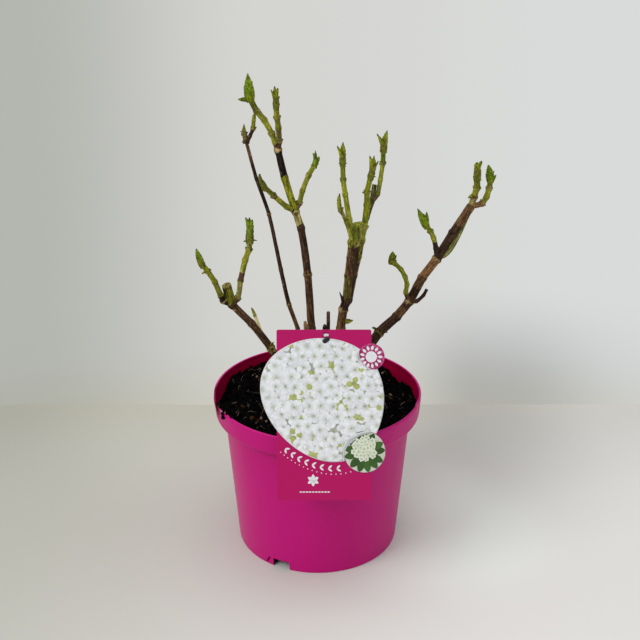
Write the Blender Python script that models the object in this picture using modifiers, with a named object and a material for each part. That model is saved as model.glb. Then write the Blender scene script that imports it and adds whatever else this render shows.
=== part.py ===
"""A hydrangea shrub in late winter, bare canes with opening shoots, in its nursery pot.

Metres, +Z up. The origin is the centre of the pot's flat underside, and -Y is the front.
The shrub is grown cane by cane: each limb is a list of internodes, and every shoot starts
inside the node that carries it and is then cut back to a small clearance.
"""
import math

import bmesh
import bpy
from mathutils import Matrix, Vector

MM = 0.001
FRONT = Vector((0, -1, 0))
GAP = 0.3 * MM                     # clearance between neighbouring pieces
STEPS = 48                         # facets round the pot and the compost

# the pot: a five-litre nursery pot with a stepped collar
RIM_RADIUS = 115 * MM
POT_HEIGHT = 181 * MM
BASE_RADIUS = 90.7 * MM
BODY_TOP_RADIUS = 103.6 * MM       # just under the collar
COLLAR_HEIGHT = 24 * MM
WALL = 2 * MM
LIP = 2.6 * MM                     # thickness of the rolled rim
COLLAR_STEP = 1.6 * MM             # how far the collar draws in below the rim
FLOOR = 9 * MM                     # the floor stands above the drain notches
SHOULDER = POT_HEIGHT - COLLAR_HEIGHT
NOTCH_COUNT = 3
NOTCH_FIRST = -116                 # degrees from +X
NOTCH_SIZE = (16 * MM, 21 * MM, 6.5 * MM)      # depth into the foot, width, height

# the compost: its crown is level where the canes stand, and hummocky round it
SOIL_HEIGHT = 165 * MM
SOIL_EDGE = 5 * MM                 # mean rise towards the pot's wall
SOIL_FRONT = 7 * MM                # further rise towards the front
SOIL_LEVEL = 46 * MM               # radius of the level crown
SOIL_RINGS = 8
HUMMOCKS = (                       # direction, distance from the axis, spread and height
    (155, 88 * MM, 17 * MM, 5 * MM),
    (118, 92 * MM, 15 * MM, 7 * MM),
    (85, 80 * MM, 18 * MM, 4 * MM),
    (46, 93 * MM, 12 * MM, 4 * MM),
    (33, 98 * MM, 10 * MM, -7 * MM),
    (17, 86 * MM, 14 * MM, 3 * MM),
    (-10, 84 * MM, 13 * MM, 4 * MM),
    (-35, 90 * MM, 15 * MM, -3 * MM),
    (-150, 84 * MM, 14 * MM, -4 * MM),
    (-178, 86 * MM, 14 * MM, -3 * MM),
)

# the picture label: a card that leans on the rim, hung by a strap from the straight stem
LABEL_LEAN = 19                    # degrees, top backwards
LABEL_SIDE = 6.5 * MM              # how far right of the middle it hangs
LABEL_RISE = 25.4 * MM             # its centre above the rim, along the card
CARD_SIZE = (95 * MM, 173 * MM)
CARD_CORNER = 2 * MM
CARD_THICK = 0.8 * MM
PANEL_THICK = 1.0 * MM
DISC_THICK = 1.2 * MM
PANEL_CENTRE = (1.5 * MM, 18.8 * MM)
PANEL_RADII = (59.3 * MM, 65.5 * MM)
PANEL_TURN = 43                    # degrees
PANEL_EGG = -0.15                  # how much narrower the panel's far end is
DISCS = ((47.4 * MM, 59.1 * MM, 13.4 * MM), (40.8 * MM, -37.1 * MM, 21.6 * MM))
HOLE = (1.9 * MM, 81.8 * MM)
HOLE_SIZE = (5.5 * MM, 3.4 * MM)
PUNCH_DEPTH = 6 * MM
STRAP_RADIUS = 0.8 * MM
STRAP_HEAD = (7 * MM, 6 * MM, 1.6 * MM)
STRAP_DROP = 4 * MM                # the head's centre below the hole
STRAP_BACK = 7 * MM                # how far it runs straight back from the hole
EYE_WIRE = 0.7 * MM                # the eye round the stem, half thick
EYE_SLACK = 0.5 * MM               # and its play on the stem
EYE_RISE = 1.3 * MM                # and its height above the hole

# limbs
FOOT_HEIGHT = SOIL_HEIGHT + GAP
FOOT_RISE = 3 * MM                 # the foot leaves the compost upright
FOOT_FLARE = (1.3, 1.15)           # how much wider the foot is at the compost and above it
BEND = 0.5                         # 0 has a sharp bend at each node, 1 an even curve
SWELL = {"hard": 0.14, "green": 0.28}          # how much a limb thickens at a node
HEAD = 0.3                         # how much a cane with shoots thickens at its tip
HEADED = ("cane_left", "cane_tall", "cane_middle", "cane_middle_right")
NODE_REACH = 4 * MM                # how far from the node it is back to its own girth
OFF_CENTRE = 1.2 * MM              # a shoot starts this far to its own side of the node
SUNK = 4 * MM                      # how deep a leaf's root sits in its shoot
LEAF_BOW = 0.06                    # how far a leaf bows outwards, over its length
LEAF_LEAST = 2.6 * MM              # a folded leaf's width: this and a share of its length
LEAF_SHARE = 0.2
FOLDED_THICK = 0.5                 # thickness of a folded and of an open leaf, over the width
OPEN_THICK = 0.25
LONG_LEAF = 10                     # mm, from which a leaf counts towards its tip's heart
HEART_SHARE = 0.6                  # the closed heart of a tip, over its longest leaf
HEART_WIDTH = 2.5                  # and its width, over the tip's radius

# Canes and hard stems. A run is an internode: length in mm, lean from upright and heading
# from +X in degrees. Girth is the radius in mm at the base and at the tip. Buds are leaves
# and dead spurs on the cane itself: node, length in mm, lean and heading, and for a leaf that
# lies open its width in mm.
CANES = {
    "cane_left": {
        "foot": (-16, -8), "girth": (4.5, 3.8),
        "runs": ((80, 26, -170), (36, 34, -170), (32, 40, -160)),
        "buds": ((1, 12, 35, -55),),
    },
    "cane_thin": {
        "foot": (-14, 14), "girth": (2.5, 1.85),
        "runs": ((79, 8, 135), (30, 21, 155), (40, 14, 150), (63, 13, 150), (40, 20, 160),
                 (38, 17, 150)),
    },
    "cane_tall": {
        "foot": (-2, 4), "girth": (4.5, 3.5),
        "runs": ((85, 4, 140), (63, 4, 150), (51, 8, 165), (19, 18, 170), (37, 18, 165),
                 (30, 13, 160)),
    },
    "cane_middle": {
        "foot": (12, -14), "girth": (5.3, 4.1),
        "runs": ((94, 8, 10), (23, 7, -25), (11, 17, 0), (28, 5, -25), (21, 6, -30),
                 (17, 6, -30)),
        "buds": ((2, 24, 14, -135), (1, 21, 45, -15)),
    },
    "cane_right": {
        "foot": (20, 8), "girth": (5.4, 4.6),
        "runs": ((90, 34, 15), (26, 48, 10), (22, 39, 10), (30, 28, 15), (26, 38, 15),
                 (33, 32, 15), (34, 34, 15)),
        "buds": ((1, 14, 50, -150), (1, 12, 81, -20)),
    },
    "stem_straight": {"foot": (11, -41), "girth": (1.9, 1.8), "runs": ((137, 11, -90),)},
    "stub_pale": {"foot": (-11, -27), "girth": (2.6, 2.4), "runs": ((103, 5, 100),)},
    "cane_middle_right": {
        "on": ("cane_middle", 2), "girth": (3.8, 3.5),
        "runs": ((12, 49, 50), (28, 12, 20), (22, 12, -25), (19, 10, -35)),
    },
    "stub_left": {"on": ("cane_left", 3), "girth": (4.1, 4.2), "runs": ((21, 20, 140),)},
    "stub_right_dark": {
        "on": ("cane_right", 3), "girth": (2.2, 1.8),
        "runs": ((9, 97, 20), (10, 54, 20), (8, 34, 30)),
    },
    "stem_middle_rear": {
        "on": ("cane_middle_right", 4), "girth": (2.8, 2.5),
        "runs": ((25, 35, 65), (15, 23, 40), (20, 18, 55)),
    },
}
RIDGE = {                          # a green shoot that has grown fast to a cane
    "cane": "cane_right", "from": (5, 0.1), "to": (6, 0.78),
    "side": (122, -10), "height": 5 * MM, "radius": 3.2 * MM, "rings": 10,
}

# Shoots of this spring. Leaves are as the buds above, and "beside" names the shoots on the
# same node that were there first.
SHOOTS = {
    "shoot_left_outer": {
        "on": ("cane_left", 3), "girth": (3.0, 2.6), "beside": ("stub_left",),
        "runs": ((10, 60, -165), (7, 26, -135), (19, 23, -135), (15, 30, -150), (10, 34, -145)),
        "leaves": ((5, 22, 21, -145), (5, 17, 15, 165), (5, 12, 14, -90), (4, 8, 106, -155),
                   (4, 7, 35, 110)),
    },
    "shoot_left_inner": {
        "on": ("cane_left", 3), "girth": (2.9, 2.9), "beside": ("stub_left", "shoot_left_outer"),
        "runs": ((9, 58, 40), (19, 20, 60), (22, 26, 60), (12, 24, 35), (9, 20, 75)),
        "leaves": ((5, 25, 12, 130), (5, 24, 19, 90), (5, 23, 10, 30), (5, 6, 93, -150),
                   (5, 6, 101, 20), (4, 6, 72, -35)),
    },
    "shoot_young": {
        "on": ("cane_left", 1), "girth": (1.9, 1.3), "beside": (),
        "runs": ((18, 50, 135), (22, 23, 150)),
        "leaves": ((2, 12, 23, 150),),
    },
    "bud_thin": {
        "on": ("cane_thin", 6), "girth": (2.6, 2.9), "beside": (),
        "runs": ((2, 12, 170), (10, 12, 170)),
        "leaves": ((2, 9, 3, 10), (2, 5, 72, -155), (1, 6, 87, -140)),
    },
    "twig_thin": {
        "on": ("cane_thin", 6), "girth": (1.7, 2.1), "beside": ("bud_thin",),
        "runs": ((8, 26, -10), (10, 26, -25), (8, 9, -55)),
        "leaves": ((3, 10, 9, -55),),
    },
    "shoot_tall_left": {
        "on": ("cane_tall", 6), "girth": (2.6, 3.1), "beside": (),
        "runs": ((8, 22, 165), (9, 22, 160), (16, 32, 155), (12, 48, 150), (14, 29, 165)),
        "leaves": ((5, 26, 7, 135, 10), (5, 18, 22, 70), (5, 15, 88, -155), (4, 5, 29, -5)),
    },
    "shoot_tall_right": {
        "on": ("cane_tall", 6), "girth": (2.8, 2.7), "beside": ("shoot_tall_left",),
        "runs": ((10, 19, -65), (14, 5, -110), (11, 13, -120), (12, 9, -105)),
        "leaves": ((4, 19, 19, -140), (4, 21, 6, -100), (4, 22, 18, -65), (4, 13, 18, 0)),
    },
    "shoot_low_left": {
        "on": ("cane_tall", 4), "girth": (2.8, 2.7), "beside": (),
        "runs": ((12, 58, -150), (21, 47, -150), (16, 46, -140)),
        "leaves": ((3, 18, 23, -140), (3, 13, 32, -105)),
    },
    "shoot_low_right": {
        "on": ("cane_tall", 4), "girth": (2.7, 2.4), "beside": ("shoot_low_left",),
        "runs": ((10, 36, 45), (13, 20, 40), (17, 31, 45), (13, 34, 25)),
        "leaves": ((4, 15, 10, 135), (4, 16, 14, 75), (4, 12, 26, 10), (4, 6, 86, 25)),
    },
    "shoot_middle_left": {
        "on": ("cane_middle", 6), "girth": (3.0, 2.4), "beside": (),
        "runs": ((25, 10, -150), (28, 12, -140), (16, 11, -135), (17, 7, -110)),
        "leaves": ((4, 21, 20, -145), (4, 22, 3, -130), (4, 18, 10, 40), (4, 5, 82, -35)),
    },
    "twig_middle": {
        "on": ("cane_middle", 6), "girth": (2.2, 2.0), "beside": ("shoot_middle_left",),
        "runs": ((26, 24, -130), (16, 30, -135)),
        "leaves": ((2, 20, 14, -115), (2, 5, 69, -50)),
    },
    "bud_middle": {
        "on": ("cane_middle", 6), "girth": (2.6, 2.8), "beside": ("shoot_middle_left",),
        "runs": ((8, 37, 25),),
        "leaves": ((1, 19, 15, -140), (1, 16, 10, -25)),
    },
    "shoot_middle_front": {
        "on": ("cane_middle_right", 4), "girth": (3.6, 2.8), "beside": ("stem_middle_rear",),
        "runs": ((15, 12, -5), (23, 8, 45), (13, 8, 90), (16, 15, 30)),
        "leaves": ((4, 24, 2, -175), (4, 22, 16, 55), (4, 19, 26, 15), (3, 7, 96, -165),
                   (4, 7, 99, 35)),
    },
    "shoot_middle_rear": {
        "on": ("stem_middle_rear", 2), "girth": (2.0, 2.6), "beside": (),
        "runs": ((12, 41, 30), (15, 16, 50), (17, 16, 60), (14, 8, 75)),
        "leaves": ((4, 22, 9, 40), (4, 20, 24, -165), (4, 6, 123, 20), (4, 6, 105, -160),
                   (3, 4, 80, 0)),
    },
    "shoot_right_curved": {
        "on": ("cane_right", 3), "girth": (2.5, 2.5), "beside": (),
        "runs": ((15, 29, -130), (11, 23, -80), (12, 25, -125), (11, 31, -150), (11, 45, -160),
                 (9, 52, -160)),
        "leaves": ((6, 11, 13, -130), (6, 8, 24, 20), (6, 8, 49, -45)),
    },
    "shoot_right_inner": {
        "on": ("cane_right", 5), "girth": (2.8, 2.5), "beside": (),
        "runs": ((14, 17, -115), (14, 22, -135), (9, 28, -150), (9, 39, -160)),
        "leaves": ((4, 22, 28, -150), (4, 15, 21, -70), (4, 8, 71, 175), (3, 5, 76, 35)),
    },
    "shoot_right_top_left": {
        "on": ("cane_right", 7), "girth": (3.5, 3.3), "beside": (),
        "runs": ((12, 14, -20), (10, 15, -25), (12, 10, -115)),
        "leaves": ((3, 22, 14, -50), (3, 18, 10, 140), (3, 7, 111, -35), (1, 9, 91, -145)),
    },
    "shoot_right_top_right": {
        "on": ("cane_right", 7), "girth": (3.2, 2.9), "beside": ("shoot_right_top_left",),
        "runs": ((14, 80, 20), (8, 39, 25), (10, 21, 40), (9, 7, 50)),
        "leaves": ((4, 18, 11, -180), (4, 12, 32, 40), (4, 10, 42, -160), (4, 10, 42, -35)),
    },
}

COLOURS = {                        # colour and roughness
    "pot": ((0.46, 0.012, 0.16), 0.38),
    "compost": ((0.022, 0.016, 0.012), 0.95),
    "card": ((0.39, 0.011, 0.11), 0.35),
    "strap": ((0.012, 0.012, 0.013), 0.4),
    "bark": ((0.085, 0.045, 0.025), 0.75),
    "pale_wood": ((0.42, 0.29, 0.17), 0.85),
    "dark_wood": ((0.03, 0.02, 0.015), 0.8),
    "green": ((0.16, 0.2, 0.035), 0.6),
}


def clear_scene():
    for thing in list(bpy.data.objects):
        bpy.data.objects.remove(thing, do_unlink=True)


def new_collection(name):
    collection = bpy.data.collections.new(name)
    bpy.context.scene.collection.children.link(collection)
    return collection


def new_object(name, data, collection):
    thing = bpy.data.objects.new(name, data)
    collection.objects.link(thing)
    return thing


def finish(thing, colour_name):
    """Give an object its own material, in one of the named colours."""
    colour, roughness = COLOURS[colour_name]
    material = bpy.data.materials.new(thing.name)
    material.use_nodes = True
    shader = material.node_tree.nodes["Principled BSDF"]
    shader.inputs["Base Color"].default_value = (*colour, 1)
    shader.inputs["Roughness"].default_value = roughness
    thing.data.materials.clear()
    thing.data.materials.append(material)


def smooth(thing, angle=40):
    thing.data.shade_smooth()
    thing.data.set_sharp_from_angle(angle=math.radians(angle))


def evaluated_mesh(thing):
    """The object's mesh as its modifiers or its curve settings make it, with ends welded."""
    graph = bpy.context.evaluated_depsgraph_get()
    mesh = bpy.data.meshes.new_from_object(thing.evaluated_get(graph))
    shape = bmesh.new()
    shape.from_mesh(mesh)
    bmesh.ops.remove_doubles(shape, verts=shape.verts, dist=0.001 * MM)
    shape.to_mesh(mesh)
    shape.free()
    return mesh


def made_mesh(thing, name, collection):
    """Turn a curve or a modified object into a plain mesh object."""
    solid = new_object(name, evaluated_mesh(thing), collection)
    solid.matrix_world = thing.matrix_world.copy()
    bpy.data.objects.remove(thing, do_unlink=True)
    return solid


def fuse(pieces):
    """Join the pieces into the first of them with one union, and remove the others."""
    whole = pieces[0]
    joining = new_collection("joining")
    for piece in pieces[1:]:
        for home in list(piece.users_collection):
            home.objects.unlink(piece)
        joining.objects.link(piece)
    union = whole.modifiers.new("union", "BOOLEAN")
    union.operation = "UNION"
    union.operand_type = "COLLECTION"
    union.collection = joining
    bpy.context.view_layer.update()
    whole.data = evaluated_mesh(whole)
    whole.modifiers.clear()
    for piece in pieces[1:]:
        bpy.data.objects.remove(piece, do_unlink=True)
    bpy.data.collections.remove(joining)
    return whole


def cut(thing, cutter):
    """Take the cutter's shape out of the object, and leave the cutter as a guide."""
    cutter.hide_render = True
    cutter.display_type = "WIRE"
    change = thing.modifiers.new(cutter.name, "BOOLEAN")
    change.operation = "DIFFERENCE"
    change.object = cutter


def turned(name, profile, collection):
    """A shape turned about Z from (radius, height) pairs that run down its outer side."""
    mesh = bpy.data.meshes.new(name)
    count = len(profile)
    points = [(radius, 0, height) for radius, height in profile]
    mesh.from_pydata(points, [(k, k + 1) for k in range(count - 1)], [])
    thing = new_object(name, mesh, collection)
    screw = thing.modifiers.new("turn", "SCREW")
    screw.steps = STEPS
    screw.render_steps = STEPS
    screw.use_merge_vertices = True
    screw.merge_threshold = 0.01 * MM
    return thing


# ---- pot and compost

def body_radius(height):
    """Outer radius of the tapering body at a height."""
    return BASE_RADIUS + (BODY_TOP_RADIUS - BASE_RADIUS) * height / SHOULDER


def inner_profile(clearance):
    """The pot's inside from the floor up to the collar, set in by a clearance."""
    ledge = SHOULDER + WALL + clearance
    return [
        (body_radius(FLOOR) - WALL - clearance, FLOOR + clearance),
        (body_radius(SHOULDER) - WALL - clearance, ledge - 0.8 * WALL),
        (RIM_RADIUS - COLLAR_STEP - LIP - clearance, ledge),
    ]


def pot_profile():
    """Half section: floor, inner wall, rounded lip, collar, body and foot."""
    inside = [(0, FLOOR)] + inner_profile(0)
    lip = [
        (RIM_RADIUS - 0.8 * LIP, POT_HEIGHT - 1.5 * LIP),
        (RIM_RADIUS - LIP, POT_HEIGHT - 0.2 * LIP),
        (RIM_RADIUS - 0.8 * LIP, POT_HEIGHT),
        (RIM_RADIUS - 0.3 * LIP, POT_HEIGHT),
        (RIM_RADIUS, POT_HEIGHT - 0.4 * LIP),
        (RIM_RADIUS, POT_HEIGHT - 1.2 * LIP),
    ]
    collar = [
        (RIM_RADIUS - 0.9 * COLLAR_STEP, SHOULDER + WALL),
        (RIM_RADIUS - 1.6 * COLLAR_STEP, SHOULDER),
        (BODY_TOP_RADIUS + 0.3 * WALL, SHOULDER),
        (BODY_TOP_RADIUS, SHOULDER - 0.8 * WALL),
    ]
    foot = [
        (body_radius(2 * WALL), 2 * WALL),
        (BASE_RADIUS - 0.15 * WALL, 0.8 * WALL),
        (BASE_RADIUS - 0.8 * WALL, 0),
        (0, 0),
    ]
    return inside + lip + collar + foot


def drain_notch(number, collection):
    """A block through the pot's foot, from below and from outside."""
    depth, width, height = NOTCH_SIZE
    below, outside = 5 * MM, 8 * MM
    turn = Matrix.Rotation(math.radians(NOTCH_FIRST + number * 360 / NOTCH_COUNT), 4, "Z")
    middle = Vector((BASE_RADIUS + (outside - depth) / 2, 0, (height - below) / 2))
    size = Matrix.Diagonal((depth + outside, width, height + below, 1))
    shape = bmesh.new()
    bmesh.ops.create_cube(shape, size=1, matrix=turn @ Matrix.Translation(middle) @ size)
    mesh = bpy.data.meshes.new("drain_notch")
    shape.to_mesh(mesh)
    shape.free()
    return new_object(f"drain_notch_{number}", mesh, collection)


def make_pot(parts, cutters):
    pot = turned("pot", pot_profile(), parts)
    for number in range(NOTCH_COUNT):
        cut(pot, drain_notch(number, cutters))
    smooth(pot, 30)
    finish(pot, "pot")


def soil_rise(x, y):
    """Height of the compost above its level crown: a banked edge and a few hummocks."""
    distance = math.hypot(x, y)
    reach = max(0, distance - SOIL_LEVEL) / (RIM_RADIUS - SOIL_LEVEL)
    bank = reach * reach * (3 - 2 * reach)
    front = max(0, -y) / max(distance, MM)
    rise = bank * (SOIL_EDGE + SOIL_FRONT * front)
    for heading, far, spread, height in HUMMOCKS:
        angle = math.radians(heading)
        away = math.hypot(x - far * math.cos(angle), y - far * math.sin(angle))
        rise += bank ** 0.5 * height * math.exp(-(away / spread) ** 2)
    return rise


def make_soil(parts):
    side = inner_profile(GAP)
    edge = side[-1][0]
    rings = [(edge * k / SOIL_RINGS, SOIL_HEIGHT) for k in range(SOIL_RINGS + 1)]
    profile = rings + side[::-1] + [(0, FLOOR + GAP)]
    soil = made_mesh(turned("soil_turned", profile, parts), "soil", parts)
    for vertex in soil.data.vertices:
        if vertex.co.z > SOIL_HEIGHT - 0.1 * MM:
            vertex.co.z += soil_rise(vertex.co.x, vertex.co.y)
    smooth(soil, 60)
    finish(soil, "compost")


# ---- label

def flat_solid(name, outline, thickness, collection):
    """A plate of an outline, its back at z = 0."""
    curve = bpy.data.curves.new(name, "CURVE")
    curve.dimensions = "2D"
    curve.fill_mode = "BOTH"
    curve.extrude = thickness / 2
    spline = curve.splines.new("POLY")
    spline.points.add(len(outline) - 1)
    for point, (x, y) in zip(spline.points, outline):
        point.co = (x, y, 0, 1)
    spline.use_cyclic_u = True
    plate = new_object(name + "_outline", curve, collection)
    plate.location.z = thickness / 2
    bpy.context.view_layer.update()
    solid = made_mesh(plate, name, collection)
    solid.data.transform(solid.matrix_world)
    solid.matrix_world = Matrix.Identity(4)
    return solid


def card_outline():
    """A rectangle with small round corners."""
    half_width, half_height = CARD_SIZE[0] / 2 - CARD_CORNER, CARD_SIZE[1] / 2 - CARD_CORNER
    points = []
    for quarter, (side, end) in enumerate(((1, 1), (-1, 1), (-1, -1), (1, -1))):
        for step in range(3):
            angle = math.radians(90 * quarter + 45 * step)
            x = side * half_width + CARD_CORNER * math.cos(angle)
            y = end * half_height + CARD_CORNER * math.sin(angle)
            points.append((x, y))
    return points


def panel_outline(count=32):
    """An egg: an ellipse whose width grows towards one end."""
    turn = math.radians(PANEL_TURN)
    points = []
    for k in range(count):
        angle = math.tau * k / count
        along = PANEL_RADII[0] * math.cos(angle)
        across = PANEL_RADII[1] * math.sin(angle) * (1 + PANEL_EGG * math.cos(angle))
        x = PANEL_CENTRE[0] + along * math.cos(turn) - across * math.sin(turn)
        y = PANEL_CENTRE[1] + along * math.sin(turn) + across * math.cos(turn)
        points.append((x, y))
    return points


def disc_outline(centre_x, centre_y, radius, count=20):
    angles = [math.tau * k / count for k in range(count)]
    return [(centre_x + radius * math.cos(a), centre_y + radius * math.sin(a)) for a in angles]


def label_frame():
    """Where the card stands: x to the right, y up the card, z out of its face."""
    contact = Vector((0, -RIM_RADIUS, POT_HEIGHT - 1 * MM))
    turn = Matrix.Rotation(math.radians(90 - LABEL_LEAN), 4, "X")
    centre = contact + turn @ Vector((LABEL_SIDE, LABEL_RISE, GAP))
    return Matrix.Translation(centre) @ turn


def make_card(parts, cutters):
    card = flat_solid("label_card", card_outline(), CARD_THICK, parts)
    pieces = [card, flat_solid("panel", panel_outline(), PANEL_THICK, parts)]
    for number, disc in enumerate(DISCS):
        pieces.append(flat_solid(f"disc_{number}", disc_outline(*disc), DISC_THICK, parts))
    fuse(pieces)
    card.data.transform(label_frame())
    oval = [(HOLE[0] + HOLE_SIZE[0] * x, HOLE[1] + HOLE_SIZE[1] * y)
            for x, y in disc_outline(0, 0, 0.5, 12)]
    punch = flat_solid("label_hole", oval, PUNCH_DEPTH, cutters)
    punch.data.transform(label_frame() @ Matrix.Translation((0, 0, -PUNCH_DEPTH / 2)))
    cut(card, punch)
    finish(card, "card")


def strap_route(frame, eye_at, eye_radius):
    """From the head in front of the card, through the hole and back to the eye."""
    front = DISC_THICK + STRAP_RADIUS
    inset = frame @ Vector((HOLE[0], HOLE[1], -STRAP_BACK))
    edge = eye_at + (inset - eye_at).normalized() * (eye_radius + 0.3 * EYE_WIRE)
    depths = (
        (-STRAP_DROP, front),
        (-STRAP_RADIUS, front),
        (0, front - STRAP_RADIUS),
        (0, -2 * STRAP_RADIUS),
    )
    route = [frame @ Vector((HOLE[0], HOLE[1] + drop, depth)) for drop, depth in depths]
    return route + [inset, edge]


def strap_head(frame, collection):
    shape = bmesh.new()
    place = Vector((HOLE[0], HOLE[1] - STRAP_DROP, DISC_THICK + STRAP_RADIUS))
    stretch = Matrix.Diagonal((*STRAP_HEAD, 1))
    bmesh.ops.create_uvsphere(shape, u_segments=10, v_segments=6, radius=0.5,
                              matrix=frame @ Matrix.Translation(place) @ stretch)
    mesh = bpy.data.meshes.new("strap_head")
    shape.to_mesh(mesh)
    shape.free()
    return new_object("strap_head", mesh, collection)


def make_strap(parts, stem):
    """A head in front of the card, a strip through the hole, and an eye round the stem."""
    frame = label_frame()
    low, high = stem["nodes"]
    height = (frame @ Vector((*HOLE, 0))).z + EYE_RISE
    eye_at = low.lerp(high, (height - low.z) / (high.z - low.z))
    eye_radius = stem["radii"][-1] + EYE_SLACK + EYE_WIRE
    route = strap_route(frame, eye_at, eye_radius)
    strap = tube("label_strap", route, [STRAP_RADIUS] * len(route), 2, parts)
    turn = (high - low).to_track_quat("Z", "Y").to_euler()
    bpy.ops.mesh.primitive_torus_add(major_segments=16, minor_segments=6, location=eye_at,
                                     rotation=turn, major_radius=eye_radius,
                                     minor_radius=EYE_WIRE)
    eye = bpy.context.object
    fuse([strap, strap_head(frame, parts), eye])
    smooth(strap)
    finish(strap, "strap")


# ---- limbs

def direction(lean, heading):
    """Unit vector that leans from upright by so many degrees, towards a heading from +X."""
    flat = math.sin(math.radians(lean))
    turn = math.radians(heading)
    return Vector((flat * math.cos(turn), flat * math.sin(turn), math.cos(math.radians(lean))))


def grow_nodes(start, runs):
    """The nodes along a limb, one at each end of every internode."""
    nodes = [Vector(start)]
    for length, lean, heading in runs:
        nodes.append(nodes[-1] + direction(lean, heading) * length * MM)
    return nodes


def node_way(nodes, k):
    """Direction of the limb at node k, halfway between its two internodes."""
    ways = []
    if k > 0:
        ways.append((nodes[k] - nodes[k - 1]).normalized())
    if k < len(nodes) - 1:
        ways.append((nodes[k + 1] - nodes[k]).normalized())
    return sum(ways, Vector()).normalized()


def internode_point(nodes, k, t):
    """Point at share t of internode k: a straight run drawn part way to an even curve."""
    start, end = nodes[k], nodes[k + 1]
    length = (end - start).length
    straight = start.lerp(end, t)
    first = node_way(nodes, k) * length
    last = node_way(nodes, k + 1) * length
    t2, t3 = t * t, t * t * t
    curve = (start * (2 * t3 - 3 * t2 + 1) + first * (t3 - 2 * t2 + t)
             + end * (3 * t2 - 2 * t3) + last * (t3 - t2))
    return straight.lerp(curve, BEND)


def ring_places(length):
    """Shares of an internode that get a ring: at its node, beside it and along the run."""
    edge = NODE_REACH / length
    if length < 3.5 * NODE_REACH:
        return [0, 0.5]
    if length < 12 * NODE_REACH:
        return [0, edge, 0.5, 1 - edge]
    return [0, edge, 0.35, 0.7, 1 - edge]


def limb_course(start, runs, girth, swell, from_ground=False):
    """Nodes, ring points and radii of a limb that tapers and swells at its nodes."""
    nodes = grow_nodes(start, runs)
    whole = sum(run[0] for run in runs) * MM
    points, radii, done = [], [], 0
    for k, (length, _, _) in enumerate(runs):
        length *= MM
        for share in ring_places(length):
            radius = girth[0] + (girth[1] - girth[0]) * (done + share * length) / whole
            swollen = share == 0 and k > 0
            points.append(internode_point(nodes, k, share))
            radii.append(radius * MM * (1 + swell if swollen else 1))
        done += length
    points.append(nodes[-1])
    radii.append(girth[1] * MM)
    if from_ground:
        points[1] = points[0] + Vector((0, 0, FOOT_RISE))
        radii[0] *= FOOT_FLARE[0]
        radii[1] *= FOOT_FLARE[1]
    return {"nodes": nodes, "points": points, "radii": radii}


def tube(name, points, radii, resolution, collection):
    """A closed tube along points with its own radius at each."""
    curve = bpy.data.curves.new(name, "CURVE")
    curve.dimensions = "3D"
    curve.bevel_depth = MM
    curve.bevel_resolution = resolution
    curve.use_fill_caps = True
    spline = curve.splines.new("POLY")
    spline.points.add(len(points) - 1)
    for spot, point, radius in zip(spline.points, points, radii):
        spot.co = (*point, 1)
        spot.radius = radius / MM
    thing = new_object(name + "_curve", curve, collection)
    bpy.context.view_layer.update()
    return made_mesh(thing, name, collection)


def spindle(name, root, way, across, length, width, thick, bow, collection):
    """A pointed spindle, widest below its middle, whose middle is pushed across by a bow."""
    side = way.cross(across)
    shape = bmesh.new()
    bmesh.ops.create_uvsphere(shape, u_segments=6, v_segments=5, radius=1)
    for vertex in shape.verts:
        x, y, z = vertex.co
        share = (z + 1) / 2
        narrowing = 1.2 - 0.6 * share
        push = bow * length * math.sin(math.pi * share)
        vertex.co = (root + way * share * length + across * x * width / 2 * narrowing
                     + side * (y * thick / 2 * narrowing - push))
    bmesh.ops.recalc_face_normals(shape, faces=shape.faces)
    mesh = bpy.data.meshes.new(name)
    shape.to_mesh(mesh)
    shape.free()
    return new_object(name, mesh, collection)


def leaf(name, limb, spec, collection):
    """A young leaf or bud: folded and bowed away from its shoot, or open and facing front."""
    node, length, lean, heading = spec[:4]
    length *= MM
    way = direction(lean, heading)
    root = limb["nodes"][node] - way * SUNK
    if len(spec) == 5:
        width = spec[4] * MM
        thick = OPEN_THICK * width
        across = way.cross(FRONT).normalized()
    else:
        width = LEAF_LEAST + LEAF_SHARE * length
        thick = FOLDED_THICK * width
        stem = node_way(limb["nodes"], node)
        across = stem.cross(way)
        if across.length < 0.1:
            across = way.cross(FRONT)
        across.normalize()
    return spindle(name, root, way, across, length + SUNK, width, thick, LEAF_BOW, collection)


def heart(name, limb, leaves, collection):
    """The leaves still closed at a shoot's tip, as one plump bud among those that open."""
    last = len(limb["nodes"]) - 1
    tip_leaves = [spec for spec in leaves if spec[0] == last and spec[1] > LONG_LEAF]
    if len(tip_leaves) < 2:
        return []
    way = sum((direction(spec[2], spec[3]) for spec in tip_leaves), Vector()).normalized()
    length = SUNK + HEART_SHARE * MM * max(spec[1] for spec in tip_leaves)
    width = HEART_WIDTH * limb["radii"][-1]
    across = way.cross(FRONT).normalized()
    root = limb["nodes"][-1] - way * SUNK
    return [spindle(name, root, way, across, length, width, width, 0, collection)]


def limb_start(spec, limbs):
    if "foot" in spec:
        return Vector((spec["foot"][0] * MM, spec["foot"][1] * MM, FOOT_HEIGHT))
    carrier, node = spec["on"]
    return limbs[carrier]["nodes"][node]


def clearance_cutter(name, limb, resolution, collection):
    """A limb's tube made larger and longer by the gap that its neighbours keep."""
    points, radii = list(limb["points"]), [radius + GAP for radius in limb["radii"]]
    points[0] = points[0] + (points[0] - points[1]).normalized() * GAP
    points[-1] = points[-1] + (points[-1] - points[-2]).normalized() * GAP
    return tube(name + "_clearance", points, radii, resolution, collection)


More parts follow.
